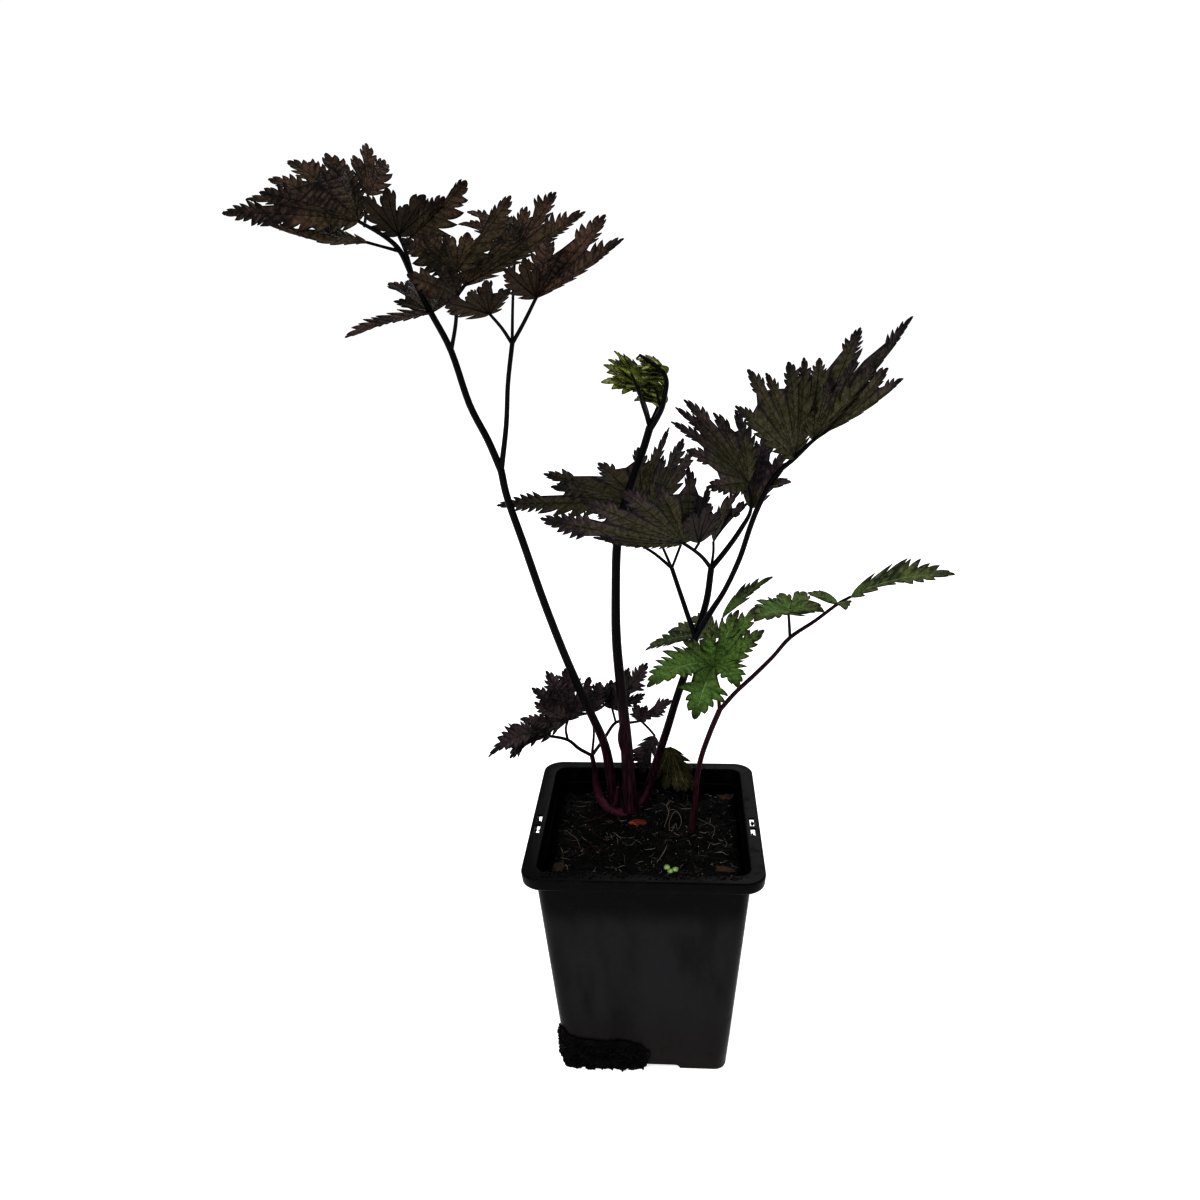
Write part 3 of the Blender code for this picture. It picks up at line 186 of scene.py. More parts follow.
# Lobes of the opening leaf, most of them still packed side by side
TUFT_LEAVES = [
    ("side", 2, 0.05, [(613.6, 351.5, 8, 12)]),
    ("side", 2, 0.05, [(608.5, 359.8, 12, 10)]),
    ("side", 2, 0.05, [(604.3, 365.2, 16, 9)]),
    ("side", 2, 0.08, [(600.5, 382.1, 14, 9)]),
    ("side", 2, 0.05, [(609, 383, 6, 10)]),
    ("side", 2, 0.08, [(624, 357, 10, 12)]),
    ("side", 2, 0.05, [(618, 355, 18, 10)]),
    ("side", 2, 0.12, [(612, 389, 12, 9)]),
    ("side", 2, 0.06, [(606, 372, 6, 10)]),
    ("side", 2, 0.06, [Aim(-123, 39, 20, 12)]),
    ("side", 2, 0.1, [(629, 362, 14, 10)]),
    ("side", 2, 0.15, [(622, 394, 12, 8)]),
    ("crook", 2, 0.12, [(639.7, 355.6, 18, 10)]),
    ("crook", 2, 0.12, [(634.6, 366, 14, 10)]),
    ("crook", 2, 0.14, [Aim(-131, 25, 21, 10)]),
    ("crook", 2, 0.14, [Aim(-125, 17, 21, 10)]),
    ("crook", 2, 0.1, [(645, 357, 20, 10)]),
    ("crook", 2, 0.16, [(641, 383, 12, 9)]),
    ("crook", 3, 0.12, [(637, 360, 12, 7)]),
    ("crook", 3, 0.14, [Aim(-123, 13, 19, 7)]),
    ("crook", 3, 0.12, [(648, 366, 8, 7)]),
    ("crook", 1, 0.12, [(643, 385, 16, 10)]),
    ("crook", 1, 0.1, [(640, 396, 18, 9)]),
    ("crook", 1, 0.1, [Aim(-106, 31, 17, 9)]),
    ("crook", 1, 0.12, [Aim(-144, 18, 14, 8)]),
    ("crook", 2, 0.1, [Aim(-137, 41, 20, 11)]),
    ("crook", 2, 0.06, [Aim(-144, 5, 17, 10)]),
    ("crook", 1, 0.06, [Aim(-126, 50, 20, 10)]),
    ("crook", 1, 0.04, [Aim(-150, 40, 16, 10)]),
    ("side", 2, 0.1, [Aim(-110, 50, 15, 10)]),
    ("side", 2, 0.1, [Aim(-60, 60, 13, 9)]),
    ("crook", 1, 0.06, [Aim(-112, 41, 18, 12)]),
    ("crook", 1, 0.06, [Aim(-110, 33, 17, 12)]),
    ("crook", 1, 0.06, [Aim(-117, 34, 20, 11)]),
    ("crook", 1, 0.06, [Aim(-116, 48, 22, 12)]),
]
RIGHT_STALKS = {
    "petiole": [(641, 806, 30, 2.7), (650, 780, 28, 2.3), (660, 750, 25, 2.1), (668, 727, 22, 2),
        (676, 700, 19, 1.9), (686, 668, 16, 1.9), (696, 637, 13, 1.9)],
    "left": [(696, 637, 13, 1.3), (683, 601, 9, 1.1), (671, 568, 5, 1)],
    "left_a": [(671, 568, 5, 0.8), (657, 555, 0, 0.7), (643, 547, -3, 0.6)],
    "left_b": [(671, 568, 5, 0.7), (661, 543, 20, 0.6), (650, 520, 38, 0.6), (641, 506, 48, 0.6)],
    "left_c": [(671, 568, 5, 0.6), (681, 545, 2, 0.6)],
    "black": [(696, 637, 13, 1.7), (706, 600, 14, 1.6), (712, 568, 14, 1.5)],
    "black_l": [(712, 568, 14, 1), (703, 557, 8, 0.9), (694, 550, 3, 0.8), (684, 542, -2, 0.8)],
    "black_s": [(694, 550, 3, 0.6), (699, 544, 1, 0.6)],
    "black_m": [(712, 568, 14, 0.7), (713, 553, 16, 0.6), (713, 541, 17, 0.6)],
    "black_r": [(712, 568, 14, 1.3), (728, 548, 12, 1.2), (742, 529, 10, 1.1), (752, 508, 7, 0.8),
        (748, 483, 3, 0.6)],
    "red": [(696, 637, 13, 1.6), (712, 612, 8, 1.4), (726, 590, 4, 1.2), (740, 558, 0, 1.2),
        (749, 529, -3, 1.2), (757, 508, -6, 1.2), (768, 487, -9, 1.2), (780, 471, -11, 1.1),
        (794, 457, -13, 1), (813, 440, -16, 0.8), (826, 431, -18, 0.6)],
}
RIGHT_LEAVES = [
    ("black_l", 3, 0.06, [(593, 538, -26, 11), (540, 518, -44, 16), (580, 500, -36, 13),
        (621, 490, -24, 16), (655, 482, -8, 12), (688, 466, 4, 11), (709, 485, 12, 9)], 0.55, (0.4, 1.0)),
    ("left_a", 2, 0, [(604, 541, -10, 9)]),
    ("left_b", 3, 0.04, [(496, 506, 26, 14), (550, 487, 36, 14), (543, 473, 44, 12), (597, 462, 60, 14),
        (638, 447, 66, 12)]),
    ("left_b", 3, 0.03, [(669, 427, 54, 6)]),
    ("left_b", 2, -0.02, [(664, 455, 44, 9), (683, 438, 52, 13), (695, 447, 56, 9)]),
    ("black_s", 1, 0.05, [(692, 513, -8, 11), (711, 503, -5, 12), Aim(-18, 58, 18, 11)]),
    ("black_m", 2, 0.04, [(731, 510, 14, 12), (749, 503, 10, 13), (741, 489, 18, 12)]),
    ("black_r", 4, 0.05, [(706, 488, -18, 10), (687, 450, -22, 11), (671, 422, -18, 8), (675, 406, -10, 8),
        (684, 400, -6, 11), (713, 412, 0, 11), (735, 410, 6, 11)]),
    ("black_r", 3, 0.03, [(757, 440, 20, 9), (769, 433, 20, 12), (787, 450, 14, 9)]),
    ("red", 6, 0, [(792, 482, -12, 7)]),
    ("red", 8, 0.03, [(735, 406, -32, 9), (748, 369, -26, 13), (765, 372, -22, 10), (788, 361, -14, 18),
        (804, 357, -8, 12)], 0.62),
    ("red", 9, 0.02, [(820, 357, 8, 11), (860, 328, 12, 13)], 0.6),
    ("red", 9, -0.02, [(832, 377, -4, 12), (858, 356, -6, 12), (914, 316, -22, 14)], 0.6, (1.0, 0.5)),
    ("red", 10, -0.05, [(903, 378, -36, 12), Aim(-22, 49, 35, 13), Aim(-12, 58, 33, 12)], 0.6, (0.2, 1.0)),
]
GREEN_STALKS = {
    "petiole": [(691, 840, 6, 1.7), (694, 808, 5, 1.5), (697, 782, 3, 1.4), (702, 757, 0, 1.3),
        (711, 732, -3, 1.3), (719, 710, -5, 1.3)],
    "up": [(719, 710, -5, 0.9), (718, 688, -7, 0.8), (715, 666, -10, 0.7)],
    "back": [(715, 666, -10, 0.6), (720, 650, 8, 0.6), (722, 636, 22, 0.6), (723, 618, 26, 0.6)],
    "right": [(719, 710, -5, 1.1), (736, 692, -7, 1), (754, 675, -10, 1), (772, 656, -12, 0.9),
        (790, 637, -14, 0.9), (815, 620, -17, 0.8), (838, 604, -20, 0.7), (850, 596, -22, 0.6)],
    "mid": [(790, 637, -14, 0.7), (788, 615, -14, 0.6)],
}
GREEN_LEAVES = [
    ("up", 2, 0.12, [(648, 688, -45, 17), (695, 719, -48, 22), (738, 688, -38, 14)]),
    ("up", 2, 0.02, [(683, 640, -8, 11), (700, 640, -4, 9)]),
    ("back", 2, 0.1, [(646, 650, 38, 11), (668, 632, 44, 9), (690, 618, 48, 9)]),
    ("up", 2, 0.02, [(709, 627, -8, 9), (739, 609, -8, 12), (758, 605, -12, 9), (765, 630, -20, 10)]),
    ("back", 3, 0.05, [(772, 577, 20, 9)]),
    ("mid", 1, 0.12, [(754, 622, -34, 14)]),
    ("mid", 1, 0.1, [(824, 612, -26, 11)]),
    ("mid", 1, 0.03, [(767, 601, -8, 9), (781, 593, 0, 10), (805, 592, 2, 11), (811, 606, -6, 9)]),
    ("right", 6, 0.05, [(808, 593, -14, 6)]),
    ("right", 6, 0.1, [(846, 610, -34, 8)]),
    ("right", 7, 0.07, [(956, 574, -44, 16)]),
]
LOW_STALKS = {
    "petiole": [(604, 808, 33, 1.9), (597, 783, 32, 1.5), (594, 767, 31, 1.3), (592, 756, 30, 1.2)],
    "left": [(592, 756, 30, 0.9), (580, 748, 26, 0.9), (568, 739, 20, 0.8), (551, 736, 14, 0.7),
        (536, 736, 10, 0.6)],
    "left_up": [(568, 739, 20, 0.7), (566, 729, 22, 0.6), (567, 720, 24, 0.6)],
    "up": [(592, 756, 30, 0.7), (593, 732, 34, 0.6), (592, 712, 37, 0.6)],
    "right": [(592, 756, 30, 0.9), (604, 739, 35, 0.8), (615, 722, 40, 0.8), (629, 722, 42, 0.7),
        (642, 721, 42, 0.6)],
    "right_b": [(615, 722, 40, 0.6), (612, 709, 44, 0.6)],
    "right_c": [(642, 721, 42, 0.6), (649, 728, 43, 0.6), (655, 736, 43, 0.6)],
}
LOW_LEAVES = [
    ("left", 4, 0.12, [(510, 758, 2, 8)]),
    ("left", 3, 0.2, [(489, 757, -6, 11)]),
    ("left", 3, 0.1, [(508, 729, 8, 9), (528, 720, 16, 9)]),
    ("left_up", 2, 0.1, [(519, 719, 12, 9), (534, 702, 16, 10)]),
    ("left_up", 2, 0.06, [(532, 688, 20, 10), (546, 671, 26, 12), (565, 668, 34, 14), (590, 677, 42, 11)]),
    ("up", 2, 0.08, [(584, 688, 44, 9), (600, 682, 48, 10)]),
    ("right_b", 1, 0.08, [(600, 684, 50, 8), (611, 680, 52, 9), (620, 683, 52, 8)]),
    ("right_b", 1, 0.06, [(629, 668, 52, 8), (647, 663, 54, 11), (645, 694, 50, 6)]),
    ("right", 4, 0.08, [(634, 702, 46, 6), (647, 705, 48, 6), (673, 701, 40, 9)]),
    ("right_c", 2, 0.12, [(641, 775, 39, 12)]),
]
WILTED_STALKS = {
    "stalk": [(684, 800, 39, 0.9), (681, 783, 40, 0.8), (671, 747, 38, 0.7)],
}
# Withered leaflet, hanging from its stalk
DROOPING_LEAVES = [
    ("stalk", 2, -0.06, [(655, 781, 36, 9), (665, 789, 30, 11), Aim(-68, -61, 23, 12),
        Aim(-51, -56, 24, 11), Aim(-36, -55, 25, 9)]),
]

# Bark chips: x, y, length, width, thickness in millimetres, turn in degrees
CHIPS = {
    "bark_chip_back": (41, 41, 9.0, 6.0, 2.4, 25),
    "bark_chip_left": (-40, -27, 8.5, 5.0, 2.0, 70),
    "bark_chip_right": (38, -28, 9.0, 4.5, 2.0, -15),
}

# Pale roots and reddish threads on the compost, and the strands of the crown: x, y, height above the
# compost and radius, in millimetres
PALE_ROOTS = (
    ((12.4, 31, 1.5, 0.4), (10.0, 25, 2.6, 0.4), (11.0, 17.6, 2.2, 0.35), (8.9, 9.5, -0.4, 0.25)),
    ((11.5, 6, -0.4, 0.25), (12.0, 12.6, 1.6, 0.3), (14.4, 17.6, 2.6, 0.32), (16.4, 15.6, 2.9, 0.3),
     (18.0, 11.5, 2.0, 0.28), (15.8, 7, 0.8, 0.25), (13.4, 4, -0.4, 0.2)),
    ((12.5, 7, -0.3, 0.2), (14.4, 11, 1.5, 0.22), (15.6, 8.4, 0.2, 0.2)),
    ((11.8, 9, 0.2, 0.2), (13.6, 8.2, 1.2, 0.22), (16.2, 9.6, 0.1, 0.2)),
    ((12.6, 4.4, 0.2, 0.18), (14.2, 7.8, 1.4, 0.2), (13.4, 11.4, 0.3, 0.18)),
    ((10.5, -8, -0.3, 0.25), (9, -13, 1.0, 0.45), (7, -18, 0.9, 0.4), (5.4, -21.5, -0.3, 0.2)),
    ((24, 18, -0.4, 0.2), (30, 14, 0.9, 0.25), (34, 8, 0.8, 0.22), (33, 1, -0.3, 0.2)),
    ((-41, 9, -0.3, 0.2), (-38, 2, 0.8, 0.28), (-34, -2, 0.9, 0.25), (-31, -9, -0.3, 0.2)),
)
RED_THREADS = (
    ((-30, 10, -0.3, 0.25), (-27, 3, 1.2, 0.3), (-22, -3, 1.5, 0.28), (-16, -5, 1.0, 0.25),
     (-11, -9, -0.4, 0.2)),
    ((-39, -1, -0.3, 0.22), (-35, -8, 1.0, 0.3), (-29, -10, 1.2, 0.28), (-26, -5, 0.8, 0.25),
     (-29, 0, -0.3, 0.2)),
    ((-33, 1, -0.3, 0.22), (-28, -4, 1.0, 0.3), (-24, -10, 1.2, 0.28), (-19, -12, -0.3, 0.2)),
    ((18, 4, -0.4, 0.3), (17, -1, 0.9, 0.4), (14, -3, 0.8, 0.35), (11, -2, -0.4, 0.2)),
    ((-19, 20, 0.0, 0.5), (-24, 14, 0.9, 0.4), (-30, 12, 0.4, 0.35), (-35, 14, -0.4, 0.2)),
)
CROWN_STRANDS = (
    ((-26.6, 31.5, 126, 1.3), (-26.2, 30.5, 118, 1.9), (-24.2, 27.5, 112, 2.1), (-20, 22, 109.4, 2.1),
     (-13.4, 17.4, 108.8, 1.8), (-6.5, 16.6, 107.8, 0.9)),
    ((-17.5, 21.5, 107.5, 1.2), (-12, 18.5, 110.0, 1.6), (-6, 20, 111.6, 1.6), (-1.2, 24.5, 114.5, 1.4),
     (1.4, 27, 121, 0.8)),
    ((-19, 25, 107.5, 1.0), (-15.5, 21.2, 113, 1.1), (-14.6, 21.2, 122, 0.7)),
)

# Resting bud, half sunk, foot to tip
BUD = ((1.5, 11.0, 100.5, 2.4), (0.4, 10.6, 104.2, 3.3), (-2.4, 9.8, 107.0, 3.0), (-6.0, 9.0, 108.4, 1.9),
       (-8.8, 8.4, 109.0, 0.3))

# Top edge of the compost stuck to the pot: way round the pot from its corner, height, in millimetres
CRUST_EDGE = ((-12, 5), (-9, 15), (-5, 22), (0, 24), (6, 19), (19, 17.5), (30, 18), (38, 15.5), (42, 9))


# From the picture to the frame

def camera_axes():
    """Right, up and forward of the photograph's camera, as vectors of length one."""
    yaw, pitch, roll = (math.radians(angle) for angle in (CAMERA_YAW, CAMERA_PITCH, CAMERA_ROLL))
    ahead = np.array((math.sin(yaw) * math.cos(pitch), math.cos(yaw) * math.cos(pitch), -math.sin(pitch)))
    level = np.array((math.cos(yaw), -math.sin(yaw), 0.0))
    rising = np.cross(level, ahead)
    right = level * math.cos(roll) + rising * math.sin(roll)
    up = rising * math.cos(roll) - level * math.sin(roll)
    return right, up, ahead


def picture_point(x, y, depth):
    """Place in the frame, in millimetres, of a point of the picture at its depth."""
    right, up, ahead = camera_axes()
    focal = CAMERA_LENS / SENSOR_WIDTH * PICTURE_SIDE
    middle = PICTURE_SIDE / 2
    ray = ahead + right * (x - middle) / focal - up * (y - middle) / focal
    return CAMERA_PLACE + ray * (depth - CAMERA_PLACE[1]) / ray[1]


def route_in_frame(name, marks):
    """Stalk as a route of (x, y, z, radius), to whole millimetres or, for a fine one, to tenths."""
    digits = 1 if name in FINE_STALKS else 0
    return [(*np.round(picture_point(*mark[:3]), digits), mark[3]) for mark in marks]


def aim_of(mark, base):
    """Aim of a lobe from its leaflet's base, to whole degrees and millimetres."""
    if isinstance(mark, Aim):
        return mark
    way = picture_point(*mark[:3]) - base
    length = float(np.linalg.norm(way))
    bearing = math.degrees(math.atan2(way[1], way[0]))
    rise = math.degrees(math.asin(way[2] / length))
    return Aim(round(bearing), round(rise), round(length), mark[3])


def leaf_in_frame(stalks, leaflets):
    """Stalks as routes, and leaflets as (stalk, point, arch, joined, trim, lobes)."""
    routes = {name: route_in_frame(name, marks) for name, marks in stalks.items()}
    rows = []
    for leaflet in leaflets:
        stalk, point, arch, lobes, joined, trim = leaflet + JOINED_AND_TRIM[len(leaflet) - 4:]
        base = np.array(routes[stalk][point][:3])
        rows.append((stalk, point, arch, joined, trim, [aim_of(mark, base) for mark in lobes]))
    return routes, rows


# Materials

def srgb(colour):
    """Linear colour of an sRGB hex value, with full alpha."""
    parts = [int(colour[k:k + 2], 16) / 255 for k in (1, 3, 5)]
    linear = [c / 12.92 if c <= 0.04045 else ((c + 0.055) / 1.055) ** 2.4 for c in parts]
    return (*linear, 1.0)


def add_node(tree, kind, inputs=None, **settings):
    """Node of a kind with its settings; each input takes a node's first output, a socket or a value."""
    item = tree.nodes.new(kind)
    for name, value in settings.items():
        setattr(item, name, value)
    for name, source in (inputs or {}).items():
        if isinstance(source, bpy.types.Node):
            source = source.outputs[0]
        if isinstance(source, bpy.types.NodeSocket):
            tree.links.new(source, item.inputs[name])
        else:
            item.inputs[name].default_value = source
    return item


def new_material(name, roughness, **constants):
    """Empty Principled material: its tree and shader."""
    material = bpy.data.materials.new(name)
    material.use_nodes = True
    shader = material.node_tree.nodes["Principled BSDF"]
    shader.inputs["Roughness"].default_value = roughness
    for name_of_input, value in constants.items():
        shader.inputs[name_of_input.replace("_", " ")].default_value = value
    return material, material.node_tree, shader


def attribute(tree, name):
    """Value of a named attribute of the surface."""
    return add_node(tree, "ShaderNodeAttribute", attribute_name=name).outputs["Fac"]


def share(tree, value, low, high):
    """Share from 0 to 1 of a value between two limits."""
    return add_node(tree, "ShaderNodeMapRange", {"Value": value, "From Min": low, "From Max": high},
                    interpolation_type="SMOOTHSTEP").outputs["Result"]


def ranged(tree, value, limits, results):
    """Value carried evenly from one pair of limits to another."""
    low, high = limits
    least, most = results
    return add_node(tree, "ShaderNodeMapRange", {"Value": value, "From Min": low, "From Max": high,
                                                 "To Min": least, "To Max": most}).outputs["Result"]


def maths(tree, operation, first, second):
    """One sum on two values."""
    return add_node(tree, "ShaderNodeMath", {0: first, 1: second}, operation=operation).outputs[0]


def plus(tree, first, second):
    """Sum of two values."""
    return maths(tree, "ADD", first, second)


def minus(tree, first, second):
    """Difference of two values."""
    return maths(tree, "SUBTRACT", first, second)


def times(tree, first, second):
    """Product of two values."""
    return maths(tree, "MULTIPLY", first, second)


def blend(tree, amount, first, second, mode="MIX"):
    """Two colours mixed by an amount."""
    mix = add_node(tree, "ShaderNodeMix", {0: amount, 6: first, 7: second}, data_type="RGBA", blend_type=mode)
    return mix.outputs[2]


def speckle(tree, size_mm, detail=2.0, kind="ShaderNodeTexNoise", stretch=None, **settings):
    """Pattern on object coordinates whose features are about so many millimetres wide."""
    place = add_node(tree, "ShaderNodeTexCoord").outputs["Object"]
    if stretch:
        place = add_node(tree, "ShaderNodeMapping", {"Vector": place, "Scale": stretch}).outputs[0]
    inputs = {"Vector": place, "Scale": 1000.0 / size_mm}
    if kind == "ShaderNodeTexNoise":
        inputs["Detail"] = detail
    pattern = add_node(tree, kind, inputs, **settings)
    return pattern.outputs[0]


def height_in(tree):
    """Height above the ground, in metres."""
    place = add_node(tree, "ShaderNodeTexCoord").outputs["Object"]
    return add_node(tree, "ShaderNodeSeparateXYZ", {0: place}).outputs["Z"]


def relief(tree, shader, height, depth_mm):
    """Bump of a height pattern, of so many millimetres."""
    bump = add_node(tree, "ShaderNodeBump", {"Height": height, "Distance": depth_mm * MM, "Strength": 1.0})
    tree.links.new(bump.outputs[0], shader.inputs["Normal"])


def leaf_material(name, deep, flush, base_tint, crest_highlight_tint, vein_and_fold_shade_tint, rib_tint, back_tint, edge_tint, tinted,
                  gloss=0.5, rim_from=0.72):
    """Living leaf blade: dull and waxy above with ribs and netted veins, duller behind, dark at its edge. Its
    pleats' crests get a painted highlight, and its side vein lines are partly painted shade of the folds.

    Tinted is the share of the base tint, and rim_from the share of the way out where the edge tint starts.
    """
    material, tree, shader = new_material(name, gloss, IOR=WATERY_IOR, Specular_IOR_Level=0.16)
    edge = attribute(tree, "edge")
    along = attribute(tree, "along")
    back = attribute(tree, "back")
    cloud = speckle(tree, 16.0, 3.0)
    mottle = speckle(tree, 2.2, 4.0)
    colour = blend(tree, share(tree, cloud, 0.36, 0.64), deep, flush)
    # The blade keeps more of its base tint near its foot and away from its edge
    foot = minus(tree, plus(tree, attribute(tree, "tone"), times(tree, cloud, 0.7)),
                 plus(tree, times(tree, along, 1.1), times(tree, edge, 0.45)))
    colour = blend(tree, times(tree, share(tree, foot, -0.05, 0.5), tinted), colour, srgb(base_tint))
    colour = blend(tree, 1.0, colour, ranged(tree, mottle, (0.3, 0.7), (0.6, 1.5)), "MULTIPLY")
    # Fine net between the side veins, cells of about 1.4 mm
    net = speckle(tree, 1.4, kind="ShaderNodeTexVoronoi", feature="DISTANCE_TO_EDGE")
    net_line = minus(tree, 1.0, share(tree, net, 0.0, 0.14))
    vein = attribute(tree, "vein")
    patches = share(tree, mottle, 0.36, 0.62)
    # Painted highlight: the crests of the pleats between the side veins are lightened, in patches
    painted_crest_highlight = times(tree, minus(tree, 1.0, share(tree, vein, 0.0, 0.6)), patches)
    # The side vein lines lie in the pleats' valleys; their dark tint is partly the veins' own colour, partly
    # painted shade of the folds
    side_line = times(tree, share(tree, vein, 0.55, 1.0), minus(tree, 1.0, share(tree, edge, 0.75, 1.0)))
    rib_line = share(tree, attribute(tree, "rib"), 0.35, 0.8)
    fine = maths(tree, "MAXIMUM", times(tree, side_line, 0.5), times(tree, net_line, 0.25))
    colour = blend(tree, times(tree, painted_crest_highlight, 0.4), colour, srgb(crest_highlight_tint))
    colour = blend(tree, fine, colour, srgb(vein_and_fold_shade_tint))
    colour = blend(tree, times(tree, rib_line, 0.85), colour, srgb(rib_tint))
    colour = blend(tree, times(tree, back, 0.7), colour, srgb(back_tint))
    dark = maths(tree, "MAXIMUM", share(tree, edge, rim_from, 1.0), share(tree, along, 0.8, 1.0))
    colour = blend(tree, times(tree, dark, 0.8), colour, srgb(edge_tint))
    tree.links.new(colour, shader.inputs["Base Color"])
    height = minus(tree, times(tree, net, 2.0), maths(tree, "MAXIMUM", fine, rib_line))
    relief(tree, shader, plus(tree, height, times(tree, mottle, 0.8)), 0.25)
    rough = ranged(tree, plus(tree, back, mottle), (0.3, 1.6), (gloss - 0.06, gloss + 0.22))
    tree.links.new(rough, shader.inputs["Roughness"])
    return material


def stalk_material(name, top, foot, foot_height, clear_height, gloss=0.38):
    """Living stalk or root: smooth skin with fine streaks along it, in another colour near the ground."""
    material, tree, shader = new_material(name, gloss, IOR=WATERY_IOR, Specular_IOR_Level=0.08)
    height = height_in(tree)
    streak = speckle(tree, 3.0, 4.0, stretch=(3.0, 3.0, 0.35))
    low = minus(tree, 1.0, share(tree, height, foot_height * MM, clear_height * MM))
    colour = blend(tree, times(tree, low, share(tree, streak, 0.25, 0.7)), srgb(top), srgb(foot))
    colour = blend(tree, 1.0, colour, ranged(tree, streak, (0.3, 0.7), (0.75, 1.3)), "MULTIPLY")
    tree.links.new(colour, shader.inputs["Base Color"])
    relief(tree, shader, streak, 0.12)
    return material


def pot_material(deep, flush):
    """Recycled black polypropylene, moulded: satin, mottled, with painted shade under and on its rim,
    brownish at its foot.
    """
    material, tree, shader = new_material("black_polypropylene_moulded", 0.4, IOR=1.49,
                                          Specular_IOR_Level=0.05)
    flow = speckle(tree, 18.0, 4.0, stretch=(1.0, 1.0, 0.3))
    grain = speckle(tree, 0.7, 3.0)
    dust = share(tree, speckle(tree, 5.0, 6.0), 0.52, 0.72)
    height = height_in(tree)
    low = minus(tree, 1.0, share(tree, height, 0.004, 0.05))
    # Painted shade: from just under the rim's skirt up to its top the pot keeps its deepest colour
    painted_rim_shade = minus(tree, 1.0, share(tree, height, 0.086, 0.1))
    colour = blend(tree, times(tree, painted_rim_shade, share(tree, flow, 0.2, 0.6)), deep, flush)
    colour = blend(tree, times(tree, dust, 0.04), colour, srgb("#4a463f"))
    colour = blend(tree, times(tree, low, plus(tree, times(tree, dust, 0.2), 0.6)), colour, srgb("#160c0a"))
    tree.links.new(colour, shader.inputs["Base Color"])
    tree.links.new(ranged(tree, plus(tree, flow, dust), (0.3, 1.4), (0.3, 0.55)), shader.inputs["Roughness"])
    relief(tree, shader, plus(tree, grain, times(tree, flow, 0.8)), 0.08)
    return material


def crumb_material(name, dark, light, pale, pale_share=0.62):
    """Damp potting compost: matt peat and bark crumbs with a few paler bits."""
    material, tree, shader = new_material(name, 0.88, IOR=1.4, Specular_IOR_Level=0.08)
    tone = attribute(tree, "tone")
    grain = speckle(tree, 1.1, 5.0)
    lump = speckle(tree, 6.0, 3.0)
    colour = blend(tree, share(tree, plus(tree, grain, times(tree, tone, 0.3)), 0.4, 0.85), dark, light)
    specks = share(tree, grain, pale_share, pale_share + 0.06)
    colour = blend(tree, times(tree, specks, 0.7), colour, srgb(pale))
    tree.links.new(colour, shader.inputs["Base Color"])
    tree.links.new(ranged(tree, lump, (0.4, 0.65), (0.55, 0.95)), shader.inputs["Roughness"])
    relief(tree, shader, grain, 0.5)
    return material


def fibre_material(name, dark, light, roughness=0.8, plain=0.25):
    """Dry plant fibre or splinter: dull, streaked along its length, each bit its own shade."""
    material, tree, shader = new_material(name, roughness, IOR=1.45, Specular_IOR_Level=0.3)
    tone = attribute(tree, "tone")
    streak = speckle(tree, 1.0, 4.0)
    amount = share(tree, plus(tree, times(tree, tone, 0.8), times(tree, streak, 0.4)), plain, 1.05)
    tree.links.new(blend(tree, amount, srgb(dark), srgb(light)), shader.inputs["Base Color"])
    relief(tree, shader, streak, 0.15)
    return material


# Meshes

def add_object(name, mesh):
    """Object in the scene, at the origin."""
    item = bpy.data.objects.new(name, mesh)
    bpy.context.scene.collection.objects.link(item)
    return item


def plain_mesh(name, points, faces):
    """Mesh from points in metres and faces."""
    mesh = bpy.data.meshes.new(name)
    mesh.from_pydata(points, [], faces)
    return mesh


def mesh_of(name, shape):
    """Mesh from a bmesh, which is freed."""
    mesh = bpy.data.meshes.new(name)
    shape.to_mesh(mesh)
    shape.free()
    return mesh


def smooth_mesh(name, points, faces, material):
    """Smooth mesh of one material, from points in metres and faces."""
    mesh = plain_mesh(name, points, faces)
    mesh.materials.append(material)
    mesh.shade_smooth()
    return mesh


def net(rows, columns, start=0):
    """Four-cornered faces of a net of rows and columns of cells, whose points run row by row from a start."""
    faces = []
    for row in range(rows):
        for column in range(columns):
            a = start + row * (columns + 1) + column
            faces.append((a, a + 1, a + columns + 2, a + columns + 1))
    return faces


def join_solids(name, solids, material):
    """Closed solids of points in millimetres, faces and point values, as one mesh object."""
    points, faces, values = [], [], []
    count = 0
    for some, some_faces, some_values in solids:
        points.append(some)
        values.append(some_values)
        faces += [[index + count for index in face] for face in some_faces]
        count += len(some)
    mesh = smooth_mesh(name, (np.vstack(points) * MM).tolist(), faces, material)
    for key, column in zip(VALUE_NAMES, np.vstack(values).T):
        layer = mesh.attributes.new(key, "FLOAT", "POINT")
        layer.data.foreach_set("value", column.astype(np.float32))
    return add_object(name, mesh)


def plain_copy(item, name):
    """Plain mesh object with the item's modifiers applied; the item itself goes."""
    graph = bpy.context.evaluated_depsgraph_get()
    mesh = bpy.data.meshes.new_from_object(item.evaluated_get(graph))
    mesh.name = name
    bpy.data.objects.remove(item, do_unlink=True)
    return add_object(name, mesh)


def finish_piece(item, slot, *nodes):
    """Puts a piece on the frame's one body and hides the nodes that it stands for; its slot is not used."""
    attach(item, "root")
    if nodes:
        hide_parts(*nodes)


def unit(vector):
    """Vector of length one."""
    return vector / max(np.linalg.norm(vector), 1e-9)


def polar(lobe):
    """Lobe as a vector from its leaflet's base to its tip."""
    bearing = math.radians(lobe.bearing)
    rise = math.radians(lobe.rise)
    flat = math.cos(rise)
    return lobe.length * np.array((math.cos(bearing) * flat, math.sin(bearing) * flat, math.sin(rise)))


def swell(t):
    """Share of a lobe's half width at the share t of its length: widest below its middle, with a long tip."""
    return math.sin(math.pi * min(max(t, 0.0), 1.0) ** 0.82) ** 0.7 * 1.06


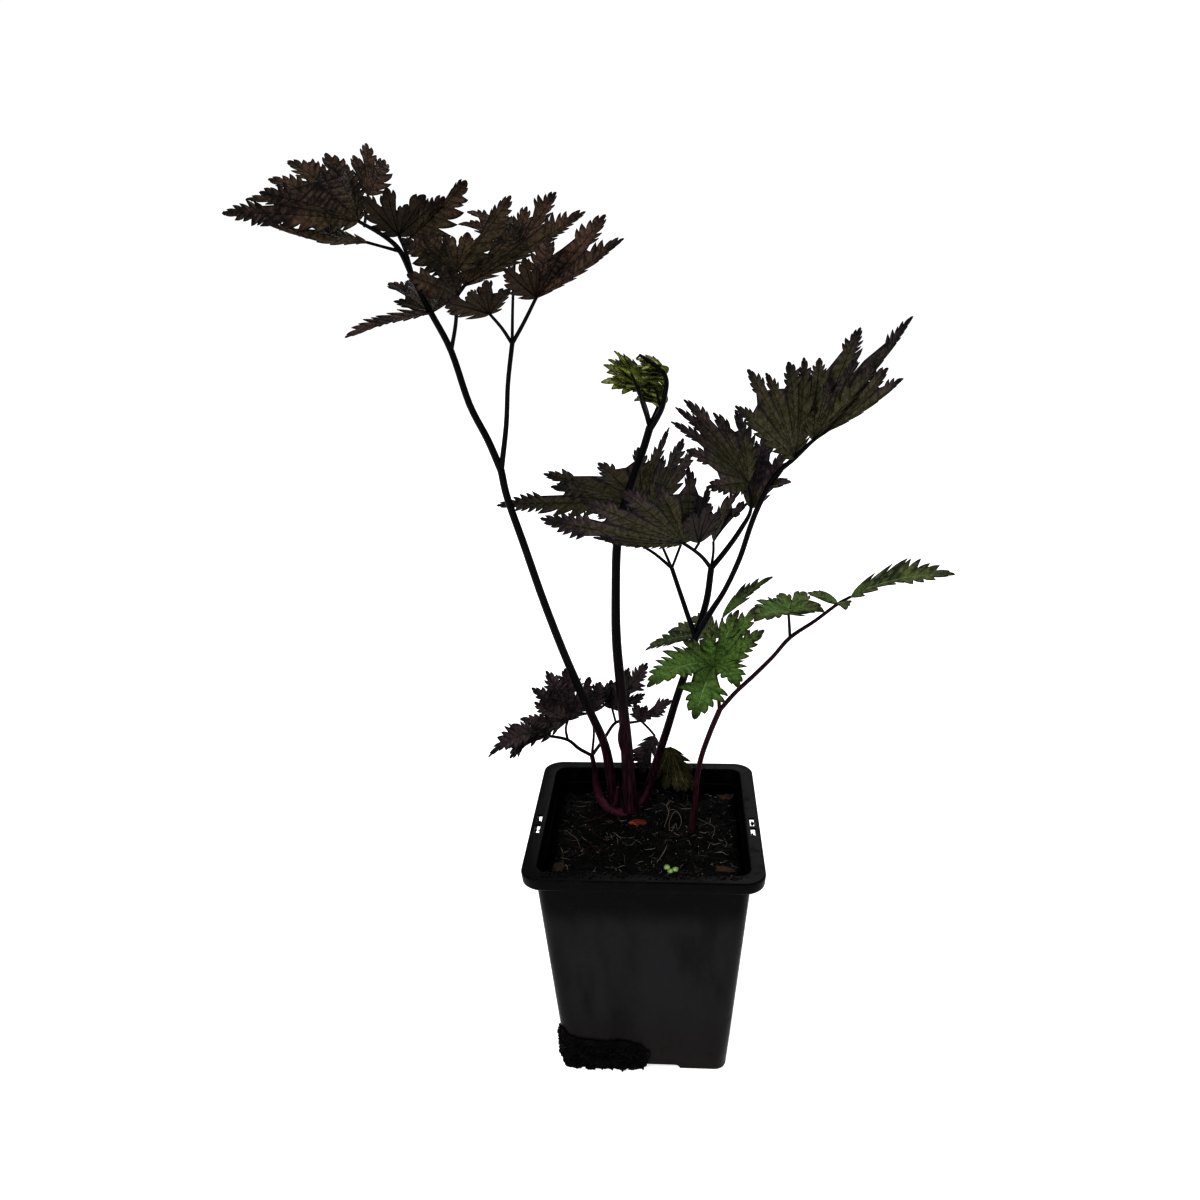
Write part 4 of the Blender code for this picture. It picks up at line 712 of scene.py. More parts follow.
class Leaflet:
    """One leaflet: lobes that fan from its base, toothed, pleated along their side veins."""

    def __init__(self, routes, row, chance, pleat=0.0, web=0.0, curl=0.0, tooth=6.0):
        stalk, point, self.arch, self.joined, self.trim, lobes = row
        self.base = np.array(routes[stalk][point][:3])
        if len(lobes) > 1:
            self.joined += (1 - self.joined) * web
        self.curl = curl
        self.tooth = tooth
        self.ribs = [polar(lobe) for lobe in lobes]
        self.lengths = [lobe.length for lobe in lobes]
        self.halves = [lobe.width / 2 for lobe in lobes]
        self.chance = chance
        self.pleat = pleat
        normal = np.zeros(3)
        for one, other in zip(self.ribs[:-1], self.ribs[1:]):
            normal = normal + np.cross(other, one)
        turn = 1.0
        if len(self.ribs) == 1:
            along = unit(self.ribs[0])
            normal = FACE - along * (FACE @ along)
        elif normal @ FACE < 0:
            normal = -normal
            turn = -1.0
        self.normal = unit(normal)
        self.ups = []
        self.sides = []
        for rib in self.ribs:
            along = unit(rib)
            up = unit(self.normal - along * (self.normal @ along))
            self.ups.append(up)
            self.sides.append(np.cross(along, up) * turn)
        self.base_teeth = max(1, int(round(max(self.lengths) * self.joined / (1.2 * tooth))))
        self.points = []
        self.values = []
        self.quads = []

    def rib_point(self, lobe, t):
        """Point of a lobe's midrib at the share t of its length."""
        lift = self.ups[lobe] * 4 * self.arch * self.lengths[lobe] * t * (1 - t)
        return self.base + self.ribs[lobe] * t + lift

    def gap(self, lobe, side):
        """Half the angle to the neighbouring lobe on that side, or None on a leaflet's outer edge."""
        other = lobe + side
        if other < 0 or other >= len(self.ribs):
            return None
        cosine = unit(self.ribs[lobe]) @ unit(self.ribs[other])
        return math.acos(max(-1.0, min(1.0, cosine))) / 2

    def seam(self, lobe, side, s):
        """Point halfway to the neighbouring lobe, where the two are one blade, and its way from the rib."""
        one = self.rib_point(lobe, s)
        other = self.rib_point(lobe + side, s)
        point = (one + other) / 2 + self.normal * FOLD * 0.35 * np.linalg.norm(one - other)
        return point, np.linalg.norm(point - one)

    def margin(self, lobe, side, s, reach, gap):
        """Point of a lobe's edge, and its distance from the midrib."""
        width = self.halves[lobe] * swell(s) * reach
        if gap is None:
            width *= self.trim[1] if side > 0 else self.trim[0]
        else:
            room = ROOM * s * self.lengths[lobe] * math.tan(min(gap, 1.2))
            width = min(width, room * (0.55 + 0.45 * reach))
        offset = self.sides[lobe] * side * width + self.ups[lobe] * FOLD * width
        return self.rib_point(lobe, s) + offset, width

    def edge_line(self, lobe, side, teeth):
        """Edge points of a half lobe, foot to tip, one for each side line of the blade."""
        gap = self.gap(lobe, side)
        steps = len(TOOTH)
        line = []
        for k in range(self.base_teeth):
            grow = self.chance.uniform(0.9, 1.05)
            for step, (phase, reach) in enumerate(TOOTH):
                if gap is None:
                    s = self.joined * (k + phase) / self.base_teeth
                    softened = 1 - (1 - reach) * (0.9 if k else 0.4)
                    line.append(self.margin(lobe, side, s, softened * grow, None))
                else:
                    line.append(self.seam(lobe, side, self.joined * (k + step / steps) / self.base_teeth))
        for k in range(teeth):
            grow = self.chance.uniform(0.9, 1.12) if k % 2 else self.chance.uniform(0.78, 1.0)
            shift = self.chance.uniform(-0.12, 0.12)
            for phase, reach in TOOTH:
                s = self.joined + (1 - self.joined) * (k + phase + (shift if phase else 0.0)) / teeth
                if k == 0 and phase == 0.0 and gap is not None:
                    line.append(self.seam(lobe, side, self.joined))
                else:
                    if k == teeth - 1:
                        s = min(s, 0.985)
                        reach *= 0.9
                    line.append(self.margin(lobe, side, s, reach * (grow if phase else 1.0), gap))
        line.append((self.rib_point(lobe, 1.0), 0.0))
        return line

    def half_lobe(self, lobe, side, teeth):
        """Net of one side of a lobe: lines from its midrib to its edge, along the side veins."""
        edge = self.edge_line(lobe, side, teeth)
        count = len(edge)
        low = self.base_teeth * len(TOOTH)
        wave = self.chance.uniform(0, 6.28)
        start = len(self.points)
        for index, (tip, width) in enumerate(edge):
            if index < low:
                s = self.joined * index / low
            else:
                s = self.joined + (1 - self.joined) * (index - low) / (count - 1 - low)
            t = s - 0.34 * s * (1 - s)
            foot = self.rib_point(lobe, t)
            between = ((index + 1) % len(TOOTH)) / len(TOOTH)
            # A weaker line runs halfway between two side veins
            on_vein = 1.0 if between == 0 else 0.6 if between == 0.5 else 0.0
            pleat = self.pleat * min(1.0, width / 6) * (math.sin(math.pi * between) - 0.35)
            curl = self.curl if index > low or self.gap(lobe, side) is None else 0.0
            for v in ACROSS:
                lift = pleat * 4 * v * (1 - v) + curl * width * math.sin(9 * s + wave) * v * v
                lift -= 0.1 * width * v * (1 - v)
                self.points.append(foot * (1 - v) + tip * v + self.ups[lobe] * lift)
                self.values.append((s, v, on_vein, 1.0 if v == 0 else 0.0, self.tone))
        quads = net(count - 1, len(ACROSS) - 1, start)
        total = np.zeros(3)
        for a, b, c, d in quads:
            total += np.cross(self.points[c] - self.points[a], self.points[d] - self.points[b])
        if total @ self.ups[lobe] < 0:
            quads = [quad[::-1] for quad in quads]
        self.quads += quads

    def blade(self, thickness, tone=None):
        """Points, faces and point values of the closed blade."""
        self.tone = self.chance.uniform(0.0, 1.0) if tone is None else tone
        for lobe in range(len(self.ribs)):
            length = self.lengths[lobe]
            teeth = max(2, int(round(length * (1 - self.joined * 0.6) / self.tooth)))
            for side in (-1, 1):
                self.half_lobe(lobe, side, teeth)
        return thicken(np.array(self.points), np.array(self.values), self.quads, thickness)


def thicken(points, values, quads, thickness):
    """Closed thin solid from a sheet: equal points merged, two faces and a rim."""
    keys = np.round(points, 3)
    _, first, same = np.unique(keys, axis=0, return_index=True, return_inverse=True)
    same = same.reshape(-1)
    points = points[first]
    values = values[first]
    faces = []
    for quad in quads:
        corners = []
        for index in quad:
            merged = int(same[index])
            if merged not in corners:
                corners.append(merged)
        if len(corners) > 2:
            faces.append(corners)
    normals = np.zeros_like(points)
    for face in faces:
        a, b, c = points[face[0]], points[face[1]], points[face[-1]]
        normals[face] += np.cross(b - a, c - a)
    normals /= np.maximum(np.linalg.norm(normals, axis=1), 1e-9)[:, None]
    count = len(points)
    both = np.vstack((points + normals * thickness / 2, points - normals * thickness / 2))
    edges = set()
    for face in faces:
        edges.update(zip(face, face[1:] + face[:1]))
    rim = [(b, a, a + count, b + count) for a, b in edges if (b, a) not in edges]
    rim.sort()
    backs = [[index + count for index in face[::-1]] for face in faces]
    front_values = np.hstack((values, np.zeros((count, 1))))
    back_values = np.hstack((values, np.ones((count, 1))))
    return both, faces + backs + rim, np.vstack((front_values, back_values))


def blade_solids(leaf, routes, rows, thickness, pleat):
    """Closed blades of one leaf."""
    chance = random.Random(leaf.seed)
    solids = []
    for number, row in enumerate(rows):
        leaflet = Leaflet(routes, row, chance, pleat, leaf.web, leaf.curl, leaf.tooth)
        solids.append(leaflet.blade(thickness, leaf.fresh.get(number)))
    return solids


# Stalks

def smooth_route(route, steps=5):
    """Route with points added on a smooth curve through its own."""
    points = [np.array(point, float) for point in route]
    if len(points) < 3:
        steps = 3
    padded = [2 * points[0] - points[1]] + points + [2 * points[-1] - points[-2]]
    fine = []
    for a, b, c, d in zip(padded, padded[1:], padded[2:], padded[3:]):
        for k in range(steps):
            t = k / steps
            fine.append(0.5 * (2 * b + (c - a) * t + (2 * a - 5 * b + 4 * c - d) * t * t
                               + (3 * b - a - 3 * c + d) * t ** 3))
    fine.append(points[-1])
    return fine


def start_group(name, inputs):
    """Geometry node group with named inputs: its tree, their identifiers and their sockets."""
    tree = bpy.data.node_groups.new(name, "GeometryNodeTree")
    tree.is_modifier = True
    keys = {}
    for key, kind in (("Geometry", "Geometry"), *inputs):
        socket = tree.interface.new_socket(key, in_out="INPUT", socket_type="NodeSocket" + kind)
        keys[key] = socket.identifier
    tree.interface.new_socket("Geometry", in_out="OUTPUT", socket_type="NodeSocketGeometry")
    return tree, keys, add_node(tree, "NodeGroupInput").outputs


def end_group(tree, node, material):
    """Makes a node's geometry real, gives it the material and sends it out of the group."""
    whole = add_node(tree, "GeometryNodeRealizeInstances", {"Geometry": node})
    done = add_node(tree, "GeometryNodeSetMaterial", {"Geometry": whole, "Material": material})
    add_node(tree, "NodeGroupOutput", {"Geometry": done})


def add_group(item, tree, values):
    """Geometry node modifier on an object, with the group's input values by their identifiers."""
    modifier = item.modifiers.new(tree.name, "NODES")
    modifier.node_group = tree
    for key, value in values.items():
        modifier[key] = value
    bpy.context.view_layer.update()


def tube_tree(material):
    """Geometry nodes: a round, lightly fluted skin along every spline, as wide as its radius."""
    tree, keys, source = start_group("Fluted stalk", (("Sides", "Int"), ("Flute depth", "Float")))
    ring = add_node(tree, "GeometryNodeCurvePrimitiveCircle", {"Resolution": source["Sides"], "Radius": 1.0})
    place = add_node(tree, "GeometryNodeInputPosition").outputs[0]
    flat = add_node(tree, "ShaderNodeSeparateXYZ", {0: place})
    angle = add_node(tree, "ShaderNodeMath", {0: flat.outputs["Y"], 1: flat.outputs["X"]},
                     operation="ARCTAN2").outputs[0]
    ripple = add_node(tree, "ShaderNodeMath", {0: times(tree, angle, FLUTES)}, operation="COSINE").outputs[0]
    depth = plus(tree, times(tree, ripple, source["Flute depth"]), 1.0)
    scaled = add_node(tree, "ShaderNodeVectorMath", {0: place, "Scale": depth}, operation="SCALE")
    fluted = add_node(tree, "GeometryNodeSetPosition", {"Geometry": ring, "Position": scaled})
    width = add_node(tree, "GeometryNodeInputRadius")
    skin = add_node(tree, "GeometryNodeCurveToMesh", {"Curve": source["Geometry"], "Profile Curve": fluted,
                                                      "Scale": width, "Fill Caps": True})
    end_group(tree, add_node(tree, "GeometryNodeSetShadeSmooth", {"Geometry": skin}), material)
    return tree, keys


def add_tubes(name, routes, material, sides=10, flute=0.035, steps=5):
    """Smooth tapering tubes along routes in millimetres, as one mesh object."""
    curve = bpy.data.curves.new(name, "CURVE")
    curve.dimensions = "3D"
    for route in routes:
        fine = smooth_route(route, steps)
        spline = curve.splines.new("POLY")
        spline.points.add(len(fine) - 1)
        for point, place in zip(spline.points, fine):
            point.co = (*(place[:3] * MM), 1.0)
            point.radius = max(place[3], 0.05) * MM
    item = add_object(name, curve)
    tree, keys = tube_tree(material)
    add_group(item, tree, {keys["Sides"]: sides, keys["Flute depth"]: flute})
    return plain_copy(item, name)


def rib_routes(routes, rows):
    """Routes of the midribs that stand out of the blades' backs, each over most of its lobe's length."""
    ribs = []
    for row in rows:
        leaflet = Leaflet(routes, row, random.Random(0))
        for lobe, length in enumerate(leaflet.lengths):
            thick = 0.2 + 0.006 * length
            rib = []
            for k in range(7):
                t = 0.9 * k / 6
                point = leaflet.rib_point(lobe, t) - leaflet.ups[lobe] * 0.12
                rib.append((*point, thick * (1 - 0.75 * k / 6)))
            ribs.append(rib)
    return ribs


def rooted(route, depth=12.0):
    """Stalk route carried down into the compost, slightly narrower at its foot."""
    start = np.array(route[0][:3], float)
    away = unit(start - np.array(route[1][:3], float))
    foot = start + away * depth
    return [(*foot, route[0][3] * 0.85)] + list(route)


# Pot and compost forms

def square_ring(half, corner, z, steps=9):
    """Points of a rounded square, counter-clockwise."""
    points = []
    for quarter in range(4):
        middle = math.pi / 4 + quarter * math.pi / 2
        centre = (half - corner) * math.sqrt(2)
        for k in range(steps + 1):
            angle = quarter * math.pi / 2 + math.pi / 2 * k / steps
            points.append((centre * math.cos(middle) + corner * math.cos(angle),
                           centre * math.sin(middle) + corner * math.sin(angle), z))
    return points


def loft(rings):
    """Closed skin over rings of equal counts, with flat ends."""
    count = len(rings[0])
    points = [point for ring in rings for point in ring]
    faces = [tuple(range(count))[::-1]]
    for level in range(len(rings) - 1):
        low = level * count
        for k in range(count):
            after = (k + 1) % count
            faces.append((low + k, low + after, low + count + after, low + count + k))
    top = count * (len(rings) - 1)
    faces.append(tuple(range(top, top + count)))
    return points, faces


def body_half(z):
    """Half width of the pot's tapered outside."""
    return BODY_BASE_HALF + (BODY_TOP_HALF - BODY_BASE_HALF) * z / POT_HEIGHT


def inner_half(z):
    """Half width of the pot's inside below its stacking step."""
    low = body_half(FLOOR_TOP) - WALL
    high = body_half(STEP_HEIGHT) - WALL - STEP_INSET
    return low + (high - low) * (z - FLOOR_TOP) / (STEP_HEIGHT - FLOOR_TOP)


def add_box(name, size, place, turn=0.0):
    """Box mesh object."""
    shape = bmesh.new()
    bmesh.ops.create_cube(shape, size=1.0)
    mesh = mesh_of(name, shape)
    mesh.transform(Matrix.Translation(place) @ Matrix.Rotation(turn, 4, "Z") @ Matrix.Diagonal((*size, 1.0)))
    return add_object(name, mesh)


def add_rod(name, radius, depth, place, sides=28):
    """Upright cylinder mesh object."""
    shape = bmesh.new()
    bmesh.ops.create_cone(shape, cap_ends=True, segments=sides, radius1=radius, radius2=radius, depth=depth)
    mesh = mesh_of(name, shape)
    mesh.transform(Matrix.Translation(place))
    return add_object(name, mesh)


def quarter_arc(steps):
    """How far a quarter round is from its square corner, at its steps: across and along, as shares."""
    for k in range(steps + 1):
        angle = math.pi / 2 * k / steps
        yield 1 - math.sin(angle), 1 - math.cos(angle)


def pot_rings(lip):
    """Profile of the pot, foot to inner floor, with rolled lips."""
    skirt_foot = POT_HEIGHT - SKIRT_HEIGHT
    under_ledge = POT_HEIGHT - WALL
    rings = [(BODY_BASE_HALF - FOOT_ROUND * across, BODY_CORNER, FOOT_ROUND * up)
             for across, up in quarter_arc(3)]
    rings += [(body_half(z), BODY_CORNER, z) for z in (0.02, 0.045, 0.07, 0.095)]
    rings += [(body_half(skirt_foot), BODY_CORNER, skirt_foot),
              (body_half(under_ledge - 0.0008), BODY_CORNER, under_ledge - 0.0008),
              (body_half(under_ledge) + 0.0008, BODY_CORNER + 0.0006, under_ledge),
              (RIM_HALF - WALL, RIM_CORNER - WALL, under_ledge),
              (RIM_HALF - WALL - 0.0006, RIM_CORNER - WALL, skirt_foot),
              (RIM_HALF - 0.0009, RIM_CORNER - 0.0003, skirt_foot - 0.0002),
              (RIM_HALF - 0.0004, RIM_CORNER, skirt_foot + 0.0004)]
    rings += [(RIM_HALF - lip * across, RIM_CORNER, POT_HEIGHT - lip * down)
              for down, across in quarter_arc(4)]
    inner = body_half(POT_HEIGHT) - WALL
    rings += [(inner + lip * across, BODY_CORNER, POT_HEIGHT - lip * down) for across, down in quarter_arc(3)]
    rings += [(body_half(STEP_HEIGHT) - WALL, BODY_CORNER, STEP_HEIGHT + 0.0006),
              (inner_half(STEP_HEIGHT), BODY_CORNER, STEP_HEIGHT),
              (inner_half(FLOOR_TOP + 0.001), BODY_CORNER - WALL, FLOOR_TOP + 0.001),
              (inner_half(FLOOR_TOP) - 0.001, BODY_CORNER - WALL, FLOOR_TOP)]
    return [square_ring(*ring) for ring in rings]


def add_pot(material, lip):
    """Pot with its feet, drain holes and ledge slots."""
    pot = add_object("nursery_pot", plain_mesh("nursery_pot", *loft(pot_rings(lip))))
    cutters = bpy.data.collections.new("Pot cutters")
    recess = 2 * (BODY_BASE_HALF - RECESS_BORDER)
    made = [add_box("recess", (recess, recess, 2 * UNDERSIDE_RECESS), (0.0, 0.0, 0.0))]
    for quarter in range(4):
        angle = quarter * math.pi / 2
        reach = BODY_BASE_HALF - 0.001
        place = (reach * math.cos(angle), reach * math.sin(angle), 0.0)
        arch = add_box("arch", (0.012, 0.034, 2 * FOOT_ARCH), place, angle)
        soften = arch.modifiers.new("Ends", "BEVEL")
        soften.width = 0.0024
        soften.segments = 4
        made.append(arch)
        for spot, turn in zip(DRAIN_REACHES, (angle, angle + math.pi / 4)):
            place = (spot * math.cos(turn), spot * math.sin(turn), FLOOR_TOP / 2)
            made.append(add_rod("drain", DRAIN_RADIUS, 0.02, place))
    for side in (-1, 1):
        for y in SLOT_PLACES:
            made.append(add_box("slot", (0.0026, 0.0075, 0.006), (side * SLOT_REACH, y, POT_HEIGHT)))
    for item in made:
        bpy.context.scene.collection.objects.unlink(item)
        cutters.objects.link(item)
    knife = pot.modifiers.new("Cuts", "BOOLEAN")
    knife.operation = "DIFFERENCE"
    knife.operand_type = "COLLECTION"
    knife.collection = cutters
    knife.solver = "EXACT"
    bpy.context.view_layer.update()
    whole = plain_copy(pot, "nursery_pot")
    for item in made:
        bpy.data.objects.remove(item, do_unlink=True)
    bpy.data.collections.remove(cutters)
    pad_height = FLOOR_TOP - 0.0005
    pad = add_rod("pad", PAD_RADIUS, pad_height, (0.0, 0.0, pad_height / 2), 48)
    join = whole.modifiers.new("Pad", "BOOLEAN")
    join.operation = "UNION"
    join.object = pad
    join.solver = "EXACT"
    bpy.context.view_layer.update()
    whole = plain_copy(whole, "nursery_pot")
    bpy.data.objects.remove(pad, do_unlink=True)
    whole.data.materials.clear()
    whole.data.materials.append(material)
    whole.data.shade_smooth()
    whole.data.set_sharp_from_angle(angle=math.radians(32))
    return whole


def soil_height(x, y):
    """Uneven top of the compost."""
    wave = 0.0011 * math.sin(95 * x + 1.3) * math.cos(110 * y + 0.4)
    wave += 0.0008 * math.sin(240 * x + 170 * y) + 0.0006 * math.cos(310 * y - 120 * x + 2.0)
    mound = 0.0035 * math.exp(-((x + 0.006) ** 2 + (y - 0.024) ** 2) / 0.0005)
    return SOIL_LEVEL + wave + mound


def rough_height(x, y, half):
    """Top of the compost with its lumps and pits, sinking towards the pot's wall."""
    place = Vector((x, y, 0.0))
    lumps = noise.fractal(place * 130, 1.0, 2.0, 3) * 0.0012
    crumbs = noise.fractal(place * 520 + Vector((7.0, 3.0, 1.0)), 0.8, 2.1, 3) * 0.0007
    edge = max(abs(x), abs(y)) / half
    return soil_height(x, y) + lumps + crumbs - 0.0030 * max(0.0, (edge - 0.9) / 0.1) ** 1.5


def soil_corner(x, y, half, corner):
    """Place of a grid point of the compost, drawn in at the pot's rounded corners."""
    inner = half - corner
    if abs(x) <= inner or abs(y) <= inner:
        return x, y
    dx = abs(x) - inner
    dy = abs(y) - inner
    scale = max(dx, dy) / max(math.hypot(dx, dy), 1e-9)
    return math.copysign(inner + dx * scale, x), math.copysign(inner + dy * scale, y)


def soil_top(half, cells, wall_half):
    """Points of a net over the compost's top, out to half, which sinks towards the wall."""
    ways = [half * (2 * k / cells - 1) for k in range(cells + 1)]
    points = []
    for across in ways:
        for along in ways:
            x, y = soil_corner(along, across, half, BODY_CORNER)
            points.append((x, y, rough_height(x, y, wall_half)))
    return points


def soil_block(cells):
    """Points and faces of the compost, closed at its sides and its underside."""
    half = inner_half(SOIL_LEVEL - SOIL_EDGE_DIP) - SOIL_SIDE_GAP
    points = soil_top(half, cells, half)
    faces = net(cells, cells)
    border = list(range(cells + 1))
    border += [k * (cells + 1) + cells for k in range(1, cells + 1)]
    border += [cells * (cells + 1) + k for k in range(cells - 1, -1, -1)]
    border += [k * (cells + 1) for k in range(cells - 1, 0, -1)]
    above = border
    for z in (0.095, 0.07, 0.04, FLOOR_TOP + SOIL_SIDE_GAP):
        shrink = (inner_half(z) - SOIL_SIDE_GAP) / half
        below = []
        for index in border:
            x, y, _ = points[index]
            below.append(len(points))
            points.append((x * shrink, y * shrink, z))
        for k in range(len(border)):
            after = (k + 1) % len(border)
            faces.append((above[after], above[k], below[k], below[after]))
        above = below
    centre = len(points)
    points.append((0.0, 0.0, FLOOR_TOP + SOIL_SIDE_GAP))
    for k in range(len(above)):
        faces.append((above[(k + 1) % len(above)], above[k], centre))
    return points, faces


# Loose bits, scattered by geometry nodes

def scatter_tree(material):
    """Geometry nodes: bits of a collection strewn over a surface, turned, sized and shaded by chance."""
    tree, keys, source = start_group("Strewn bits", (
        ("Bits", "Collection"), ("Per square metre", "Float"), ("Seed", "Int"), ("Smallest", "Float"),
        ("Largest", "Float"), ("Tilt", "Float"), ("Sink", "Float")))
    spread = add_node(tree, "GeometryNodeDistributePointsOnFaces", {"Mesh": source["Geometry"],
                                                                   "Density": source["Per square metre"],
                                                                   "Seed": source["Seed"]})
    bits = add_node(tree, "GeometryNodeCollectionInfo", {"Collection": source["Bits"],
                                                         "Separate Children": True, "Reset Children": True})
    back = times(tree, source["Tilt"], -1.0)
    low = add_node(tree, "ShaderNodeCombineXYZ", {"X": back, "Y": back, "Z": 0.0})
    high = add_node(tree, "ShaderNodeCombineXYZ", {"X": source["Tilt"], "Y": source["Tilt"],
                                                   "Z": 2 * math.pi})
    turn = add_node(tree, "FunctionNodeRandomValue", {0: low, 1: high, "Seed": source["Seed"]},
                    data_type="FLOAT_VECTOR")
    size = add_node(tree, "FunctionNodeRandomValue", {2: source["Smallest"], 3: source["Largest"], "Seed": 5},
                    data_type="FLOAT")
    down = add_node(tree, "ShaderNodeCombineXYZ", {"Z": times(tree, source["Sink"], -1.0)})
    laid = add_node(tree, "GeometryNodeSetPosition", {"Geometry": spread.outputs["Points"], "Offset": down})
    placed = add_node(tree, "GeometryNodeInstanceOnPoints", {
        "Points": laid, "Instance": bits, "Pick Instance": True, "Rotation": turn, "Scale": size.outputs[1]})
    shade = add_node(tree, "FunctionNodeRandomValue", {2: 0.0, 3: 1.0, "Seed": 9}, data_type="FLOAT")
    toned = add_node(tree, "GeometryNodeStoreNamedAttribute",
                     {"Geometry": placed, "Name": "tone", "Value": shade.outputs[1]},
                     data_type="FLOAT", domain="INSTANCE")
    end_group(tree, toned, material)
    return tree, keys


def scatter(name, bed, bits, material, density, seed, sizes, tilt, sink):
    """Bits strewn over a bed mesh, as one plain mesh object; the bits' own objects go."""
    shelf = bpy.data.collections.new(name + " bits")
    for item in bits:
        bpy.context.scene.collection.objects.unlink(item)
        shelf.objects.link(item)
    ground = add_object(name, bed)
    tree, keys = scatter_tree(material)
    smallest, largest = sizes
    add_group(ground, tree, {keys["Bits"]: shelf, keys["Per square metre"]: density, keys["Seed"]: seed,
                             keys["Smallest"]: smallest, keys["Largest"]: largest, keys["Tilt"]: tilt,
                             keys["Sink"]: sink})
    whole = plain_copy(ground, name)
    for item in bits:
        bpy.data.objects.remove(item, do_unlink=True)
    bpy.data.collections.remove(shelf)
    whole.data.shade_smooth()
    return whole


def crumb_bit(flat, chance):
    """Rough crumb of a millimetre, a little flattened."""
    shape = bmesh.new()
    bmesh.ops.create_icosphere(shape, subdivisions=1, radius=MM / 2)
    offset = Vector((chance.uniform(0, 50), chance.uniform(0, 50), chance.uniform(0, 50)))
    for vertex in shape.verts:
        vertex.co = vertex.co * (1 + 0.55 * noise.noise(vertex.co * 1400 + offset))
        vertex.co.z *= flat
    return add_object("crumb", mesh_of("crumb", shape))


def crumb_bits(count, chance, flattest=None, thickest=0.8):
    """Crumbs of chance thickness, or all of one where no flattest is given."""
    bits = []
    for _ in range(count):
        flat = chance.uniform(flattest, thickest) if flattest else thickest
        bits.append(crumb_bit(flat, chance))
    return bits


def fibre_bit(length_mm, width_mm, curl, chance, sides=4, steps=9):
    """Thin wandering fibre, pointed at both ends."""
    heading = 0.0
    place = np.zeros(3)
    route = []
    for k in range(steps + 1):
        ends = math.sin(math.pi * (k + 0.35) / (steps + 0.7))
        route.append((place.copy(), width_mm / 2 * max(ends, 0.15)))
        heading += chance.uniform(-curl, curl)
        rise = chance.uniform(-0.25, 0.3)
        place = place + length_mm / steps * np.array((math.cos(heading), math.sin(heading), rise))
    middle = sum(point for point, _ in route) / len(route)
    points = []
    for k, (point, radius) in enumerate(route):
        ahead = route[min(k + 1, steps)][0] - route[max(k - 1, 0)][0]
        side = unit(np.cross(ahead, (0.0, 0.0, 1.0)))
        up = unit(np.cross(side, ahead))
        for s in range(sides):
            angle = 2 * math.pi * s / sides
            points.append(point - middle + radius * (math.cos(angle) * side + math.sin(angle) * up))
    faces = [tuple(range(sides)), tuple(range(steps * sides, (steps + 1) * sides))[::-1]]
    for k in range(steps):
        for s in range(sides):
            after = (s + 1) % sides
            faces.append((k * sides + after, k * sides + s, (k + 1) * sides + s, (k + 1) * sides + after))
    return add_object("fibre", plain_mesh("fibre", (np.array(points) * MM).tolist(), faces))


def splinter_bit(length_mm, width_mm, thick_mm, chance):
    """Short broken splinter of bark or wood."""
    shape = bmesh.new()
    bmesh.ops.create_cube(shape, size=1.0)
    bmesh.ops.subdivide_edges(shape, edges=shape.edges[:], cuts=2, use_grid_fill=True)
    offset = Vector((chance.uniform(0, 50), chance.uniform(0, 50), 0.0))
    for vertex in shape.verts:
        taper = 1 - 0.55 * abs(vertex.co.x) * 2 * chance.uniform(0.5, 1.0)
        vertex.co.y *= taper
        vertex.co.z *= taper
        vertex.co += 0.12 * Vector(noise.noise_vector(vertex.co * 2 + offset))
        vertex.co.x *= length_mm * MM
        vertex.co.y *= width_mm * MM
        vertex.co.z *= thick_mm * MM
    return add_object("splinter", mesh_of("splinter", shape))


def bed_mesh(inset, cells=60):
    """Open net of the compost's top, kept off the pot's wall, for bits to lie on."""
    points = soil_top(inner_half(SOIL_LEVEL) - inset, cells, inner_half(SOIL_LEVEL - SOIL_EDGE_DIP))
    return plain_mesh("bed", points, net(cells, cells))


def ledge_bed():
    """Strips of the rim's ledge where spilt compost lies: west, east, south and north limit, and height."""
    strips = [(-0.045, 0.045, -0.0524, -0.0476, POT_HEIGHT), (-0.046, -0.02, -0.0529, -0.0476, POT_HEIGHT),
              (0.0, 0.03, 0.0482, 0.0512, POT_HEIGHT)]
    for side in (-1, 1):
        middle = side * SLOT_REACH
        strips.append((middle - 0.0011, middle + 0.0011, -0.0145, -0.0115, POT_HEIGHT - 0.0009))
        strips.append((middle - 0.0009, middle + 0.0011, -0.0055, -0.0015, POT_HEIGHT - 0.0009))
    points, faces = [], []
    for west, east, south, north, z in strips:
        start = len(points)
        points += [(west, south, z), (east, south, z), (east, north, z), (west, north, z)]
        faces.append(tuple(range(start, start + 4)))
    return plain_mesh("ledge bed", points, faces)


# Crown, bud, seedling, chips and crust

